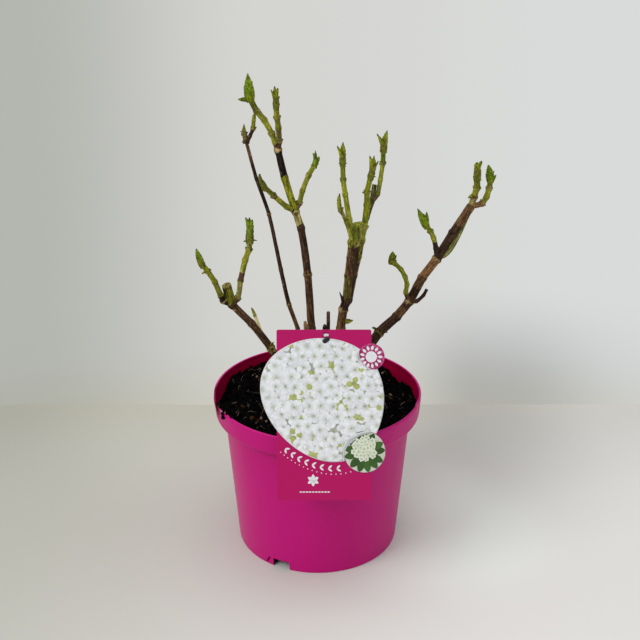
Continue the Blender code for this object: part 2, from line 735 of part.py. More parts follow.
def make_limb(name, spec, limbs, parts, cutters):
    """Grow one limb with what is fused to it, and cut it clear of what carries it."""
    hard = name in CANES
    resolution = 2 if hard else 1
    swell = SWELL["hard" if hard else "green"]
    start = limb_start(spec, limbs)
    limb = limb_course(start, spec["runs"], spec["girth"], swell, "foot" in spec)
    if "on" in spec:
        limb["points"][0] += direction(90, spec["runs"][0][2]) * OFF_CENTRE
    if name in HEADED:
        limb["radii"][-1] *= 1 + HEAD
    limbs[name] = limb
    pieces = [tube(name, limb["points"], limb["radii"], resolution, parts)]
    for number, bud in enumerate(spec.get("buds", ()) + spec.get("leaves", ())):
        pieces.append(leaf(f"{name}_leaf_{number}", limb, bud, parts))
    pieces += heart(f"{name}_heart", limb, spec.get("leaves", ()), parts)
    if name == RIDGE["cane"]:
        pieces.append(make_ridge(limb, parts))
    if len(pieces) > 1:
        fuse(pieces)
    limb["cutter"] = clearance_cutter(name, limb, resolution, cutters)
    limb["cutter"].hide_render = True
    limb["cutter"].display_type = "WIRE"
    if "on" in spec:
        for neighbour in (spec["on"][0],) + spec.get("beside", ()):
            cut(pieces[0], limbs[neighbour]["cutter"])
    smooth(pieces[0])
    return pieces[0]


def make_ridge(cane, collection):
    """The shoot that lies along a cane: it stands out most a third of the way up."""
    side = direction(*RIDGE["side"])
    first, last = sum(RIDGE["from"]), sum(RIDGE["to"])
    half_width = sum(cane["radii"]) / len(cane["radii"])
    points, radii = [], []
    for k in range(RIDGE["rings"]):
        share = k / (RIDGE["rings"] - 1)
        place = first + (last - first) * share
        height = RIDGE["height"] * math.sin(math.pi * share ** 0.6)
        radius = RIDGE["radius"] * (0.35 + 0.65 * math.sin(math.pi * share ** 0.6))
        offset = half_width + height - radius
        points.append(internode_point(cane["nodes"], int(place), place % 1) + side * offset)
        radii.append(radius)
    return tube("ridge", points, radii, 1, collection)


def main():
    clear_scene()
    parts = new_collection("hydrangea_in_pot")
    cutters = new_collection("cutters")
    make_pot(parts, cutters)
    make_soil(parts)
    limbs = {}
    for name, spec in CANES.items():
        cane = make_limb(name, spec, limbs, parts, cutters)
        wood = {"stub_pale": "pale_wood", "stub_right_dark": "dark_wood"}.get(name, "bark")
        finish(cane, wood)
    for name, spec in SHOOTS.items():
        finish(make_limb(name, spec, limbs, parts, cutters), "green")
    make_card(parts, cutters)
    make_strap(parts, limbs["stem_straight"])


main()
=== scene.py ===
from math import atan2, ceil, cos, degrees, hypot, radians, sin, sqrt

import bpy
import numpy as np
from numpy.linalg import norm
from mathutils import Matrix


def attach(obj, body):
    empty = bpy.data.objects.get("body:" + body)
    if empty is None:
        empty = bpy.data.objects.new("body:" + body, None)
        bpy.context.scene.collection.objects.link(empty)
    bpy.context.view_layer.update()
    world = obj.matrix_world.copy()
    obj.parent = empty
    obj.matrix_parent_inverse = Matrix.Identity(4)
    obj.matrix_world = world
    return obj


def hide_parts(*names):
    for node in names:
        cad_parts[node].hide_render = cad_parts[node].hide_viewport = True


# A hydrangea shrub in late winter, in its nursery pot. Metres, +Z up, the front is -Y.
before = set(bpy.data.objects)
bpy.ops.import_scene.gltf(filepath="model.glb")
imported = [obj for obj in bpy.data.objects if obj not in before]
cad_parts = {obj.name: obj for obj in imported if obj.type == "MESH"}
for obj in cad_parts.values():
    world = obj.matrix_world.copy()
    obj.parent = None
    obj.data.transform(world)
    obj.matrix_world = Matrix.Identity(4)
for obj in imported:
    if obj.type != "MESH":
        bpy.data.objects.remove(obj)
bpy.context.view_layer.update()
mm = 0.001
towardsFront = np.array([0.0, -1.0, 0.0])


# Numbers and mesh helpers

def paint(red, green, blue):
    # 8-bit screen colour to linear light
    share = np.array([red, green, blue]) / 255
    return np.where(share > 0.04045, ((share + 0.055) / 1.055) ** 2.4, share / 12.92)


def inMm(*lengths):
    return tuple(length * mm for length in lengths)


def eased(x):
    x = np.clip(x, 0, 1)
    return x * x * (3 - 2 * x)


def unit(vectors):
    return vectors / norm(vectors, axis=-1, keepdims=True)


def spread(*fields):
    # coordinate fields as points
    return np.stack(np.broadcast_arrays(*fields), -1)


def ringAngles(count):
    return np.linspace(0, 2 * np.pi, count, endpoint=False)


def arcLength(line):
    # the length along a line up to each of its points
    return np.append(0, np.cumsum(norm(np.diff(line, axis=0), axis=1)))


def linked(name, data):
    # a scene object that holds the data
    thing = bpy.data.objects.new(name, data)
    bpy.context.scene.collection.objects.link(thing)
    return thing


def softNoise(points, size, seed):
    # smooth field from -1 to 1: a random value at each corner of a lattice, eased between corners
    cell = np.asarray(points) / size
    base = np.floor(cell).astype(np.int64)
    part = eased(cell - base)
    field = 0
    for corner in np.ndindex(2, 2, 2):
        at = base + corner
        code = at[..., 0] * 73856093 ^ at[..., 1] * 19349663 ^ at[..., 2] * 83492791 ^ seed * 7919
        code = (code ^ (code >> 13)) * 1274126177 & 0x7fffffff
        weight = np.prod(np.where(corner, part, 1 - part), axis=-1)
        field = field + weight * (code / 0x3fffffff - 1)
    return field


def gridFaces(rows, columns):
    # quads between neighbouring rings of points
    row = np.arange(rows - 1)[:, None] * columns
    column = np.arange(columns)
    a, b = row + column, row + (column + 1) % columns
    return spread(a, b, b + columns, a + columns).reshape(-1, 4)


def closedTube(points, tint=None, place=None):
    # rings of points, closed by a pole at each end; faces point outwards where rings run right-handed
    rows, columns = points.shape[:2]
    count = rows * columns
    column = np.arange(columns)
    after = (column + 1) % columns
    first = spread(np.full(columns, count), after, column)
    last = spread(np.full(columns, count + 1), column, after)
    last[:, 1:] += count - columns
    shape = {
        "points": np.vstack([points.reshape(-1, 3), points[[0, -1]].mean(1)]),
        "quads": gridFaces(rows, columns),
        "triangles": np.vstack([first, last]),
    }
    for name, field in (("tint", tint), ("place", place)):
        if field is not None:
            shape[name] = np.vstack([field.reshape(-1, 3), field[[0, -1]].mean(1)])
    return shape


def joined(shapes):
    # several shapes as one, each with its points after those of the one before
    starts = np.cumsum([0] + [len(shape["points"]) for shape in shapes[:-1]])
    whole = {name: np.vstack([shape[name] for shape in shapes])
             for name in shapes[0] if name not in ("quads", "triangles")}
    for name in ("quads", "triangles"):
        whole[name] = np.vstack([shape[name] + start for shape, start in zip(shapes, starts)])
    return whole


def closedTubes(*fields):
    # many closed tubes as one shape, from their points and, where given, their tints
    return joined([closedTube(*tube) for tube in zip(*fields)])


def ringPoints(centre, reach, turn, front, side):
    # Point = centre + reach * (cos(turn) * front + sin(turn) * side), for each ring of a tube
    outward = np.cos(turn)[..., None] * front[..., None, :] + np.sin(turn)[..., None] * side[..., None, :]
    return centre[..., None, :] + reach * outward


def circle(turn):
    return spread(np.cos(turn), np.sin(turn))


def newMesh(name, shape):
    # a mesh from whole arrays
    mesh = bpy.data.meshes.new(name)
    quads, triangles = shape["quads"], shape["triangles"]
    corners = np.concatenate([quads.ravel(), triangles.ravel()])
    starts = np.concatenate([np.arange(len(quads)) * 4,
                             len(quads) * 4 + np.arange(len(triangles)) * 3])
    mesh.vertices.add(len(shape["points"]))
    mesh.vertices.foreach_set("co", shape["points"].astype(np.float32).ravel())
    mesh.loops.add(len(corners))
    mesh.loops.foreach_set("vertex_index", corners.astype(np.int32))
    mesh.polygons.add(len(starts))
    mesh.polygons.foreach_set("loop_start", starts.astype(np.int32))
    mesh.update(calc_edges=True)
    return mesh


def newPiece(name, shape, materials, replaced, sharpAngle=50, faceMaterial=None):
    # an object that rides on the plant and stands for CAD nodes
    mesh = newMesh(name, shape)
    if "tint" in shape:
        tint = mesh.attributes.new("tint", "FLOAT_COLOR", "POINT")
        values = np.insert(np.clip(shape["tint"], 0, 1), 3, 1, axis=1)
        tint.data.foreach_set("color", values.astype(np.float32).ravel())
    if "place" in shape:
        place = mesh.attributes.new("place", "FLOAT_VECTOR", "POINT")
        place.data.foreach_set("vector", shape["place"].astype(np.float32).ravel())
    for material in materials:
        mesh.materials.append(material)
    if faceMaterial is not None:
        mesh.polygons.foreach_set("material_index", faceMaterial.astype(np.int32))
    mesh.shade_smooth()
    mesh.set_sharp_from_angle(angle=radians(sharpAngle))
    piece = linked(name, mesh)
    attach(piece, "root")
    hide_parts(*replaced)
    return piece


# Material helpers

def addNode(tree, kind, settings=None, inputs=None):
    # a shader node; an input is a number, a colour or another node's output
    node = tree.nodes.new(kind)
    for name, value in (settings or {}).items():
        setattr(node, name, value)
    for name, value in (inputs or {}).items():
        if isinstance(value, bpy.types.NodeSocket):
            tree.links.new(value, node.inputs[name])
        else:
            node.inputs[name].default_value = value
    return node


def mathNode(tree, operation, first, second=0.0, third=0.0):
    settings = {"operation": operation}
    return addNode(tree, "ShaderNodeMath", settings, {0: first, 1: second, 2: third}).outputs[0]


def times(tree, first, second):
    return mathNode(tree, "MULTIPLY", first, second)


def plusTimes(tree, value, factor, rest):
    # value * factor + rest
    return mathNode(tree, "MULTIPLY_ADD", value, factor, rest)


def mixColours(tree, factor, first, second, blend="MIX"):
    # a Mix node's colours are its inputs 6 and 7, and its mixed colour is output 2
    inputs = {"Factor": factor}
    for socket, value in ((6, first), (7, second)):
        inputs[socket] = value if isinstance(value, bpy.types.NodeSocket) else (*value, 1)
    settings = {"data_type": "RGBA", "blend_type": blend}
    return addNode(tree, "ShaderNodeMix", settings, inputs).outputs[2]


def spanNode(tree, value, low, high, start=0.0, end=1.0):
    # the value eased from start at low to end at high
    inputs = {"Value": value, "From Min": low, "From Max": high, "To Min": start, "To Max": end}
    settings = {"interpolation_type": "SMOOTHSTEP"}
    return addNode(tree, "ShaderNodeMapRange", settings, inputs).outputs["Result"]


def noiseNode(tree, where, scale, detail=4, roughness=0.55, stretch=None):
    if stretch:
        where = addNode(tree, "ShaderNodeMapping", None, {"Vector": where, "Scale": stretch}).outputs[0]
    inputs = {"Vector": where, "Scale": scale, "Detail": detail, "Roughness": roughness}
    return addNode(tree, "ShaderNodeTexNoise", None, inputs).outputs["Fac"]


def newMaterial(name, gloss, roughness=0.5):
    material = bpy.data.materials.new(name)
    material.use_nodes = True
    shader = material.node_tree.nodes["Principled BSDF"]
    shader.inputs["Specular IOR Level"].default_value = gloss
    shader.inputs["Roughness"].default_value = roughness
    return material, material.node_tree, shader


def linkBump(tree, shader, height, strength, distance):
    inputs = {"Height": height, "Strength": strength, "Distance": distance}
    bump = addNode(tree, "ShaderNodeBump", None, inputs)
    tree.links.new(bump.outputs["Normal"], shader.inputs["Normal"])


def wire(tree, shader, colour, roughness=None):
    tree.links.new(colour, shader.inputs["Base Color"])
    if roughness:
        tree.links.new(roughness, shader.inputs["Roughness"])


def attributeNode(tree, name, output):
    return addNode(tree, "ShaderNodeAttribute", {"attribute_name": name}).outputs[output]


def objectPlace(tree):
    return addNode(tree, "ShaderNodeTexCoord").outputs["Object"]


def alongAxes(tree, where):
    # the X, Y and Z of a place
    return addNode(tree, "ShaderNodeSeparateXYZ", None, {0: where}).outputs


def distanceFrom(tree, where, place):
    settings = {"operation": "DISTANCE"}
    return addNode(tree, "ShaderNodeVectorMath", settings, {0: where, 1: place}).outputs["Value"]


def scaled(tree, colour, factor):
    settings = {"operation": "SCALE"}
    return addNode(tree, "ShaderNodeVectorMath", settings, {0: colour, "Scale": factor}).outputs[0]


# The plant's own materials: the place attribute runs round and along a limb

def tintedMaterial(name, look):
    # the limb's own tint, mottled and streaked along the limb, with a bump from the same fields
    material, tree, shader = newMaterial(name, look["gloss"], look["roughness"])
    place = attributeNode(tree, "place", "Vector")
    tint = attributeNode(tree, "tint", "Color")
    streaks = noiseNode(tree, place, 1 / look["streakSize"], 5, 0.6, (1, 1, look["stretch"]))
    mottle = noiseNode(tree, place, 1 / look["mottleSize"], 4, 0.6)
    grain = noiseNode(tree, place, 1 / look["grainSize"], 3, 0.65)
    shadeFactor = spanNode(tree, streaks, 0.36, 0.66, look["streakDark"], look["streakLight"])
    mottleFactor = spanNode(tree, mottle, 0.35, 0.68, look["mottleDark"], look["mottleLight"])
    factor = times(tree, shadeFactor, mottleFactor)
    rough = spanNode(tree, grain, 0.3, 0.7, look["roughness"] - 0.08, look["roughness"] + 0.08)
    wire(tree, shader, scaled(tree, tint, factor), rough)
    height = plusTimes(tree, streaks, look["streakRise"], grain)
    linkBump(tree, shader, height, look["bump"], look["bumpDepth"])
    return material


barkLook = dict(
    roughness=0.85, gloss=0.1, streakSize=1.3 * mm, stretch=0.1, mottleSize=3 * mm, grainSize=0.5 * mm,
    streakDark=0.4, streakLight=1.6, mottleDark=0.7, mottleLight=1.3, streakRise=2.2, bump=0.8,
    bumpDepth=0.5 * mm)
shootLook = dict(
    roughness=0.6, gloss=0.15, streakSize=1.1 * mm, stretch=0.12, mottleSize=2.2 * mm, grainSize=0.4 * mm,
    streakDark=0.6, streakLight=1.42, mottleDark=0.72, mottleLight=1.25, streakRise=1.5, bump=0.5,
    bumpDepth=0.25 * mm)
paleLook = dict(shootLook, streakDark=0.9, streakLight=1.1, mottleDark=0.92, mottleLight=1.06)
leafLook = dict(
    roughness=0.58, gloss=0.18, streakSize=0.8 * mm, stretch=0.3, mottleSize=1.6 * mm, grainSize=0.3 * mm,
    streakDark=0.62, streakLight=1.42, mottleDark=0.68, mottleLight=1.3, streakRise=1.2, bump=0.5,
    bumpDepth=0.2 * mm)


# Limbs: the source's rule, carried to a fine surface

plantColours = dict(
    blackBark=paint(54, 40, 30), darkBark=paint(70, 50, 35), brownBark=paint(86, 62, 42),
    midBark=paint(100, 73, 48), warmBark=paint(126, 91, 58), tan=paint(170, 140, 98),
    khaki=paint(146, 134, 76), oliveBark=paint(96, 84, 42), greyGreen=paint(84, 84, 44),
    palePith=paint(194, 168, 122), greyCut=paint(116, 110, 92), lenticel=paint(150, 120, 96),
    moss=paint(124, 122, 42), nearBlack=paint(27, 20, 17), straw=paint(168, 156, 94),
    yellowGreen=paint(138, 140, 36), paleGreen=paint(148, 144, 70), freshGreen=paint(124, 130, 18),
    olive=paint(112, 114, 26), deepGreen=paint(94, 104, 14), leafGreen=paint(106, 128, 10),
    # the dark tip colour also paints shade along the leaves' edges
    leafBright=paint(136, 144, 18), brownBand=paint(88, 66, 40), darkTipAndEdgeShade=paint(48, 44, 22),
    budTan=paint(118, 108, 54), youngYellow=paint(250, 242, 178), wine=paint(84, 60, 34),
    soot=paint(36, 26, 22), greyMoss=paint(152, 154, 88), lime=paint(156, 158, 58))
limbRule = dict(
    footHeight=165.3 * mm, bend=0.5, nodeReach=4 * mm, head=0.3, offCentre=1.2 * mm, sunk=4 * mm,
    leafLeast=2.6 * mm, leafShare=0.2, foldedThick=0.5, openThick=0.16, longLeaf=10, heartShare=0.6,
    heartWidth=2.5, flare=0.3, patchy=0.22, furrowed=0.3, crease=0.15 * mm)
wood = dict(
    swell=0.14, sides=36, step=0.9, ridges=0.055, ridgeSize=1.8 * mm, oval=0.05, ragged=1.6 * mm,
    collar=0.2 * mm, collarWidth=0.9 * mm, scar=0.7, scarRise=0.3 * mm, lenticels=1.2, budded=False)
green = dict(
    swell=0.2, sides=28, step=0.7, ridges=0.05, ridgeSize=1.5 * mm, oval=0.07, ragged=0.8 * mm,
    collar=0.4 * mm, collarWidth=0.7 * mm, scar=0.5, scarRise=0.25 * mm, lenticels=0.8, budded=True)
roundTip = ((0.95, 0.25), (0.8, 0.5), (0.5, 0.75), (0.2, 0.85))     # share of the radius, rise over it
cutTip = ((0.98, 0.04), (0.9, 0.06), (0.78, 0.02), (0.5, 0.0), (0.3, -0.03), (0.12, -0.05))


def overlaid(tint, name, cover):
    # the tint drawn towards a named colour where the cover is 1
    return tint + (plantColours[name] - tint) * cover[..., None]


def pairAngles(k, seed):
    # buds sit in opposite pairs, each pair turned a little from the last; 90 is the right-hand side
    angle = 90 + 30 * sin(seed * 1.7 + 2.3 * k)
    return angle, angle + 180


def direction(lean, heading):
    # unit vector that leans from upright by so many degrees, towards a heading from +X
    lean, heading = radians(lean), radians(heading)
    flat = sin(lean)
    return np.array([flat * cos(heading), flat * sin(heading), cos(lean)])


def growNodes(start, runs):
    steps = [direction(lean, heading) * length * mm for length, lean, heading in runs]
    return np.asarray(start) + np.cumsum([np.zeros(3)] + steps, axis=0)


def nodeWays(nodes):
    # direction at each node, halfway between the internodes on either side
    runs = unit(np.diff(nodes, axis=0))
    return unit(np.vstack([runs[:1], runs[:-1] + runs[1:], runs[-1:]]))


def internodeLine(nodes, ways, k, t):
    # a straight run drawn part way to the Hermite curve between the two node directions
    start, end = nodes[k], nodes[k + 1]
    length = norm(end - start)
    straight = start + (end - start) * t
    curve = (start * (2 * t**3 - 3 * t**2 + 1) + ways[k] * length * (t**3 - 2 * t**2 + t)
             + end * (3 * t**2 - 2 * t**3) + ways[k + 1] * length * (t**3 - t**2))
    return straight + (curve - straight) * limbRule["bend"]


def limbCourse(start, limb, style):
    # centre line, frame, girth and arc length at every ring of a limb
    runs = limb["runs"]
    nodes = growNodes(start, runs)
    ways = nodeWays(nodes)
    centre, place = [], []
    for k, (length, _, _) in enumerate(runs):
        t = np.linspace(0, 1, max(5, round(length / style["step"])), endpoint=False)
        centre.append(internodeLine(nodes, ways, k, t[:, None]))
        place.append(k + t)
    centre = np.vstack(centre + [nodes[-1:]])
    place = np.append(np.concatenate(place), len(runs))
    arc = arcLength(centre)
    if "foot" in limb:
        upright = eased(arc / (9 * mm))[:, None]
        foot = np.array([nodes[0][0], nodes[0][1], 0])
        flat = centre * (1, 1, 0)
        centre = centre - flat + foot + (flat - foot) * (0.4 + 0.6 * upright)
    else:
        aside = direction(90, runs[0][2]) * limbRule["offCentre"]
        centre = centre + aside * (1 - eased(arc / (4 * mm)))[:, None]
    nodeArc = np.interp(np.arange(len(runs) + 1), place, arc)
    whole = arc[-1]
    radius = (limb["girth"][0] + (limb["girth"][1] - limb["girth"][0]) * arc / whole) * mm
    reach = limbRule["nodeReach"]
    for at in nodeArc[1:-1]:
        away = np.minimum(np.abs(arc - at) / reach, 1)
        radius = radius * (1 + style["swell"] * 0.5 * (1 + np.cos(np.pi * away)))
    if "foot" in limb:
        radius = radius * (1 + limbRule["flare"] * np.exp(-arc / (5 * mm)))
    if limb.get("headed"):
        radius = radius * (1 + limbRule["head"] * eased((arc - whole + 1.5 * reach) / (1.5 * reach)))
    along = unit(np.gradient(centre, arc, axis=0))
    front = unit(towardsFront - along * (along @ towardsFront)[:, None])
    return dict(nodes=nodes, ways=ways, centre=centre, place=place, arc=arc, whole=whole, nodeArc=nodeArc,
                radius=radius, along=along, front=front, side=np.cross(along, front))


def withTip(course, tip):
    # the course with the rings of its tip added, and each ring's share of the radius
    share = np.concatenate([np.ones(len(course["arc"])), [row[0] for row in tip]])
    rise = np.array([row[1] for row in tip]) * course["radius"][-1]
    longer = {name: np.concatenate([course[name], np.repeat(course[name][-1:], len(tip), axis=0)])
              for name in ("centre", "place", "radius", "along", "front", "side")}
    longer["arc"] = np.concatenate([course["arc"], course["arc"][-1] + rise])
    longer["centre"][len(course["arc"]):] += course["along"][-1] * rise[:, None]
    return longer, share


def patch(arc, turn, radius, at, angle, long, wide):
    # 1 inside an oval on the limb's surface and 0 outside, soft at its edge
    around = (turn - radians(angle) + np.pi) % (2 * np.pi) - np.pi
    away = np.hypot((arc - at) / long, around * radius / wide)
    return eased((1.15 - away) / 0.4)


def limbSurface(limb, course, style, seed):
    # Point = centre(s) + radius(s, turn) * (cos(turn) * front(s) + sin(turn) * side(s)).
    # The radius is the girth with an oval, bark ridges, a collar at each node, scars and lenticels.
    tip = cutTip if limb.get("cut") else roundTip
    rows, share = withTip(course, tip)
    rng = np.random.default_rng(seed)
    turn = ringAngles(style["sides"])[None, :]
    arc, radius = rows["arc"][:, None], rows["radius"][:, None]
    around = spread(np.cos(turn) * radius, np.sin(turn) * radius, arc)
    stretched = around * (1, 1, 0.16)
    ridges = softNoise(stretched, style["ridgeSize"], seed) + 0.5 * softNoise(
        stretched, style["ridgeSize"] / 2, seed + 1)
    oval = softNoise(around * (0.5, 0.5, 0.12), 5 * mm, seed + 2)
    relief = radius * (style["ridges"] * ridges + style["oval"] * oval)

    ragged = softNoise(around * (1, 1, 0.05), 2.2 * mm, seed + 3) * style["ragged"]
    tint = np.broadcast_to(plantColours[limb["zones"][0][1]], around.shape)
    for at, name in limb["zones"][1:]:
        edge = np.interp(at, course["place"], course["arc"])
        tint = overlaid(tint, name, eased((arc + ragged - edge) / (0.9 * mm) + 0.5))
    uneven = limb.get("uneven", 1)
    clouds = softNoise(around * (1, 1, 0.3), 5 * mm, seed + 4)[..., None]
    tint = tint * (1 + limbRule["patchy"] * uneven * clouds)
    # darker in the bark's furrows and paler on its ridges: painted shade and painted highlight
    tint *= 1 + limbRule["furrowed"] * uneven * np.clip(ridges, -1, 0.6)[..., None]

    marks = list(limb.get("marks", ()))
    for _ in range(int(style["lenticels"] * course["whole"] / (6 * mm))):
        marks.append((rng.uniform(0, len(limb["runs"])), rng.uniform(0, 360), rng.uniform(0.4, 1.3),
                      rng.uniform(0.25, 0.5), limb.get("flecks", "lenticel"), 0.08))
    for k in limb.get("ringed", ()):
        at = course["nodeArc"][k]
        off = arc - at - 0.3 * mm * np.cos(2 * turn + seed)
        ring = np.exp(-(off / style["collarWidth"]) ** 2)
        crease = np.exp(-((off - 1.7 * style["collarWidth"]) / (0.4 * mm)) ** 2)
        relief = relief + style["collar"] * ring - limbRule["crease"] * crease
        tint = overlaid(tint, "khaki", 0.7 * ring)
        # darker in the crease beside the collar: painted shade
        tint *= 1 - 0.6 * crease[..., None]
        wide = style["scar"] * float(np.interp(at, course["arc"], course["radius"])) / mm
        for angle in pairAngles(k, seed):
            marks.append((k - 1.4 / limb["runs"][k - 1][0], angle, 0.5 * wide + 0.3, wide, "tan",
                          style["scarRise"] / mm))
    for at, angle, long, wide, name, rise in marks:
        edge = np.interp(at, course["place"], course["arc"])
        cover = patch(arc, turn, radius, edge, angle, long * mm, wide * mm)
        relief = relief + rise * mm * cover
        tint = overlaid(tint, name, 0.85 * cover)
    if limb.get("cut"):
        bark = eased((share - 0.86) / 0.06)[:, None, None]
        pith = eased((0.45 - share) / 0.15)[:, None, None]
        inside = plantColours[limb["cut"]] * (1 - 0.35 * pith)
        tint = inside + (tint - inside) * bark
        relief = relief + (share < 0.95)[:, None] * 0.02 * radius * ridges

    reach = ((radius + relief) * share[:, None])[..., None]
    points = ringPoints(rows["centre"], reach, turn, rows["front"], rows["side"])
    if limb.get("slant"):
        near = eased((arc - course["whole"]) / (4 * mm) + 1)[..., None]
        low = np.cos(turn)[..., None] * reach * limb["slant"] * near
        points = points - rows["along"][:, None] * low
    if limb.get("frayed"):
        fray = softNoise(around * (1, 1, 0), 1.2 * mm, seed)
        fray = fray * eased((arc - course["whole"] + 2 * mm) / (2 * mm))
        points = points + rows["along"][:, None] * (fray * limb["frayed"] * mm)[..., None]
    return closedTube(points, tint, around)


# Leaves and buds

def leafSurface(root, way, across, length, width, thick, look, seed):
    # t runs from root to tip and turn round the section. Half width = width / 2 * (1 - t^point), and up to
    # the peak it also grows from the foot's share by a quarter sine, with teeth. The section is a crescent
    # whose edges bend inwards, with a midrib and a ragged end.
    rows, sides = look["rows"], look["sides"]
    t = np.linspace(0.015, 0.985, rows)[:, None]
    turn = ringAngles(sides)[None, :]
    outward = -np.cross(way, across)
    grown = np.sin(np.pi / 2 * np.minimum(t / look["peak"], 1))
    outline = (look["foot"] + (1 - look["foot"]) * grown) * (1 - t ** look["point"])
    teeth = 1 - look["teeth"] * (1 - np.abs((t * look["toothCount"]) % 1 * 2 - 0.6)) * eased((t - 0.2) / 0.2)
    half = width / 2 * outline * teeth
    x = half * np.cos(turn)
    inner = np.abs(np.cos(turn))
    rise = thick / 2 * outline ** 0.7 * np.sin(turn)
    cup = look["cup"] * half * inner ** 2
    fold = look["fold"] * half * inner
    veins = look["veinRise"] * inner * np.sign(np.sin(turn))
    veins = veins * np.sin(2 * np.pi * (t * look["veins"] - 0.9 * inner))
    rib = look["ribRise"] * np.exp(-(x / look["ribWidth"]) ** 2) * (np.sin(turn) > 0) * (1 - t)
    around = spread(x, rise, t * length)
    wrinkle = look["wrinkle"] * mm * softNoise(around, 2.2 * mm, seed)
    sway = look["sway"] * length * t ** 2 * sin(seed * 2.3)
    curl = look["curl"] * length * eased((t - 0.55) / 0.45) ** 2
    bow = look["bow"] * length * np.sin(np.pi * t)
    height = rise - cup - fold + veins + rib + wrinkle + bow + curl
    frayed = look["frayed"] * mm * eased((t - 0.7) / 0.3)
    frayed = frayed * (softNoise(around * (1, 1, 0), 1.3 * mm, seed + 6) - 0.6)
    points = (root + way * (t * length + frayed)[..., None] + across * (x + sway)[..., None]
              + outward * height[..., None])
    tint = overlaid(plantColours[look["base"]], look["blade"], eased((t - 0.15) / 0.35) * np.ones((1, sides)))
    streak = softNoise(around * (1, 0.4, 0.15), 0.9 * mm, seed + 1)
    patchy = 0.25 * streak + 0.3 * softNoise(around, 3 * mm, seed + 2)
    tint = tint * (1 + look.get("uneven", 1) * patchy[..., None])
    stain = eased(softNoise(around * (1, 1, 0.4), 2.4 * mm, seed + 3) * 1.6 - 0.25) * look["stain"]
    tint = overlaid(tint, "wine", stain)
    # darker along the blade's edges: painted shade between the leaves; darker towards the tip: the leaf's own
    # dark tip
    rim = eased((inner - 0.84) / 0.1) * 0.5 + eased((t - look["tipFrom"]) / 0.07) * look["tip"]
    tint = overlaid(tint, "darkTipAndEdgeShade", np.clip(rim, 0, 1))
    return closedTube(points, tint, around)


plainLeaf = dict(
    sides=16, broad=1, bow=0.06, teeth=0, cup=0, fold=0, curl=0.02, sway=0, wrinkle=0.2, tip=0.7,
    veinRise=0.09 * mm, ribRise=0.28 * mm, ribWidth=0.5 * mm)
leafKinds = dict(
    clasping=dict(plainLeaf, rows=22, foot=0.7, peak=0.35, point=4, broad=1.02, bow=-0.03, frayed=1.8,
        teeth=0.14, toothCount=6, cup=0.4, veins=4, sway=0.04, base="yellowGreen", blade="leafBright",
        stain=0.45, tipFrom=0.88),
    open=dict(plainLeaf, rows=44, sides=28, foot=0.35, peak=0.42, point=2.6, frayed=0.6, teeth=0.14,
        toothCount=13, cup=-0.1, fold=-0.2, veins=7, wrinkle=0.6, sway=0.02, base="freshGreen",
        blade="leafGreen", stain=0.15, tip=0.5, tipFrom=0.93),
    heart=dict(plainLeaf, rows=18, foot=0.8, peak=0.3, point=3, frayed=1, toothCount=5, veins=3,
        wrinkle=0.25, curl=0, base="olive", blade="olive", stain=0.6, tipFrom=0.8),
    stub=dict(plainLeaf, rows=9, sides=10, foot=0.8, peak=0.3, point=3.5, bow=0, frayed=0.3, toothCount=3,
        veins=0, curl=0.08, base="khaki", blade="yellowGreen", stain=0.4, tip=0.8, tipFrom=0.72))


def leafFrame(course, node, way):
    # the blade's across direction: square to the stem and to the leaf, or to the front
    across = np.cross(course["ways"][node], way)
    if norm(across) < 0.1:
        across = np.cross(way, towardsFront)
    return unit(across)


def leafShapes(limb, course, seed):
    # the leaves that the source fuses to this limb, and the closed heart among them at the tip
    shapes = []
    fresh = limb.get("leafTint", {})
    for number, spec in enumerate(limb.get("leaves", ())):
        node, length, way = spec[0], spec[1] * mm, direction(*spec[2:4])
        own = limb.get("leafLooks", {}).get(number, {})
        root = course["nodes"][node] - way * limbRule["sunk"] + course["ways"][node] * own.get("rise", 0)
        if len(spec) == 5:
            width, kind = spec[4] * mm, "open"
            thick, across = limbRule["openThick"] * width, unit(np.cross(way, towardsFront))
        else:
            width = limbRule["leafLeast"] + limbRule["leafShare"] * length
            thick, across, kind = limbRule["foldedThick"] * width, leafFrame(course, node, way), "clasping"
        look = {**leafKinds[kind], **fresh, **own}
        width, thick = width * look["broad"], thick * look["broad"]
        shapes.append(leafSurface(root, way, across, length + limbRule["sunk"], width, thick, look,
                                  seed + 11 * number))
    last = len(limb["runs"])
    tips = [spec for spec in limb.get("leaves", ()) if spec[0] == last and spec[1] > limbRule["longLeaf"]]
    if len(tips) > 1:
        way = unit(sum(direction(spec[2], spec[3]) for spec in tips))
        length = limbRule["sunk"] + limbRule["heartShare"] * mm * max(spec[1] for spec in tips)
        width = limbRule["heartWidth"] * course["radius"][-1]
        root = course["nodes"][-1] - way * limbRule["sunk"]
        across = unit(np.cross(way, towardsFront))
        shapes.append(leafSurface(root, way, across, length, width, width,
                                  {**leafKinds["heart"], **fresh}, seed + 5))
    return shapes


def stubShapes(limb, course, seed):
    # the blunt buds and leaf stubs of an opposite pair at each ringed node, pressed to the limb
    rng = np.random.default_rng(seed)
    shapes = []
    for k in limb.get("ringed", ()):
        ring = min(np.searchsorted(course["place"], k), len(course["place"]) - 1)
        for angle in pairAngles(k, seed):
            turn = radians(angle)
            sideways = cos(turn) * course["front"][ring] + sin(turn) * course["side"][ring]
            way = unit(course["along"][ring] + sideways * rng.uniform(0.35, 1.1))
            across = unit(np.cross(course["along"][ring], sideways))
            root = course["centre"][ring] + sideways * (course["radius"][ring] - 0.9 * mm)
            length, width = rng.uniform(2.1, 3.5) * mm, rng.uniform(1.9, 2.9) * mm
            shapes.append(leafSurface(root, way, across, length, width, 0.8 * width, leafKinds["stub"],
                                      seed + 7 * k + int(angle)))
    return shapes


# Canes and hard stems. A run is an internode: length in mm, lean from upright and heading from
# +X in degrees. Girth is the radius in mm at the base and the tip. A zone starts at a place counted
# in internodes. A mark is a place, an angle round the limb, its length and width, colour and rise.

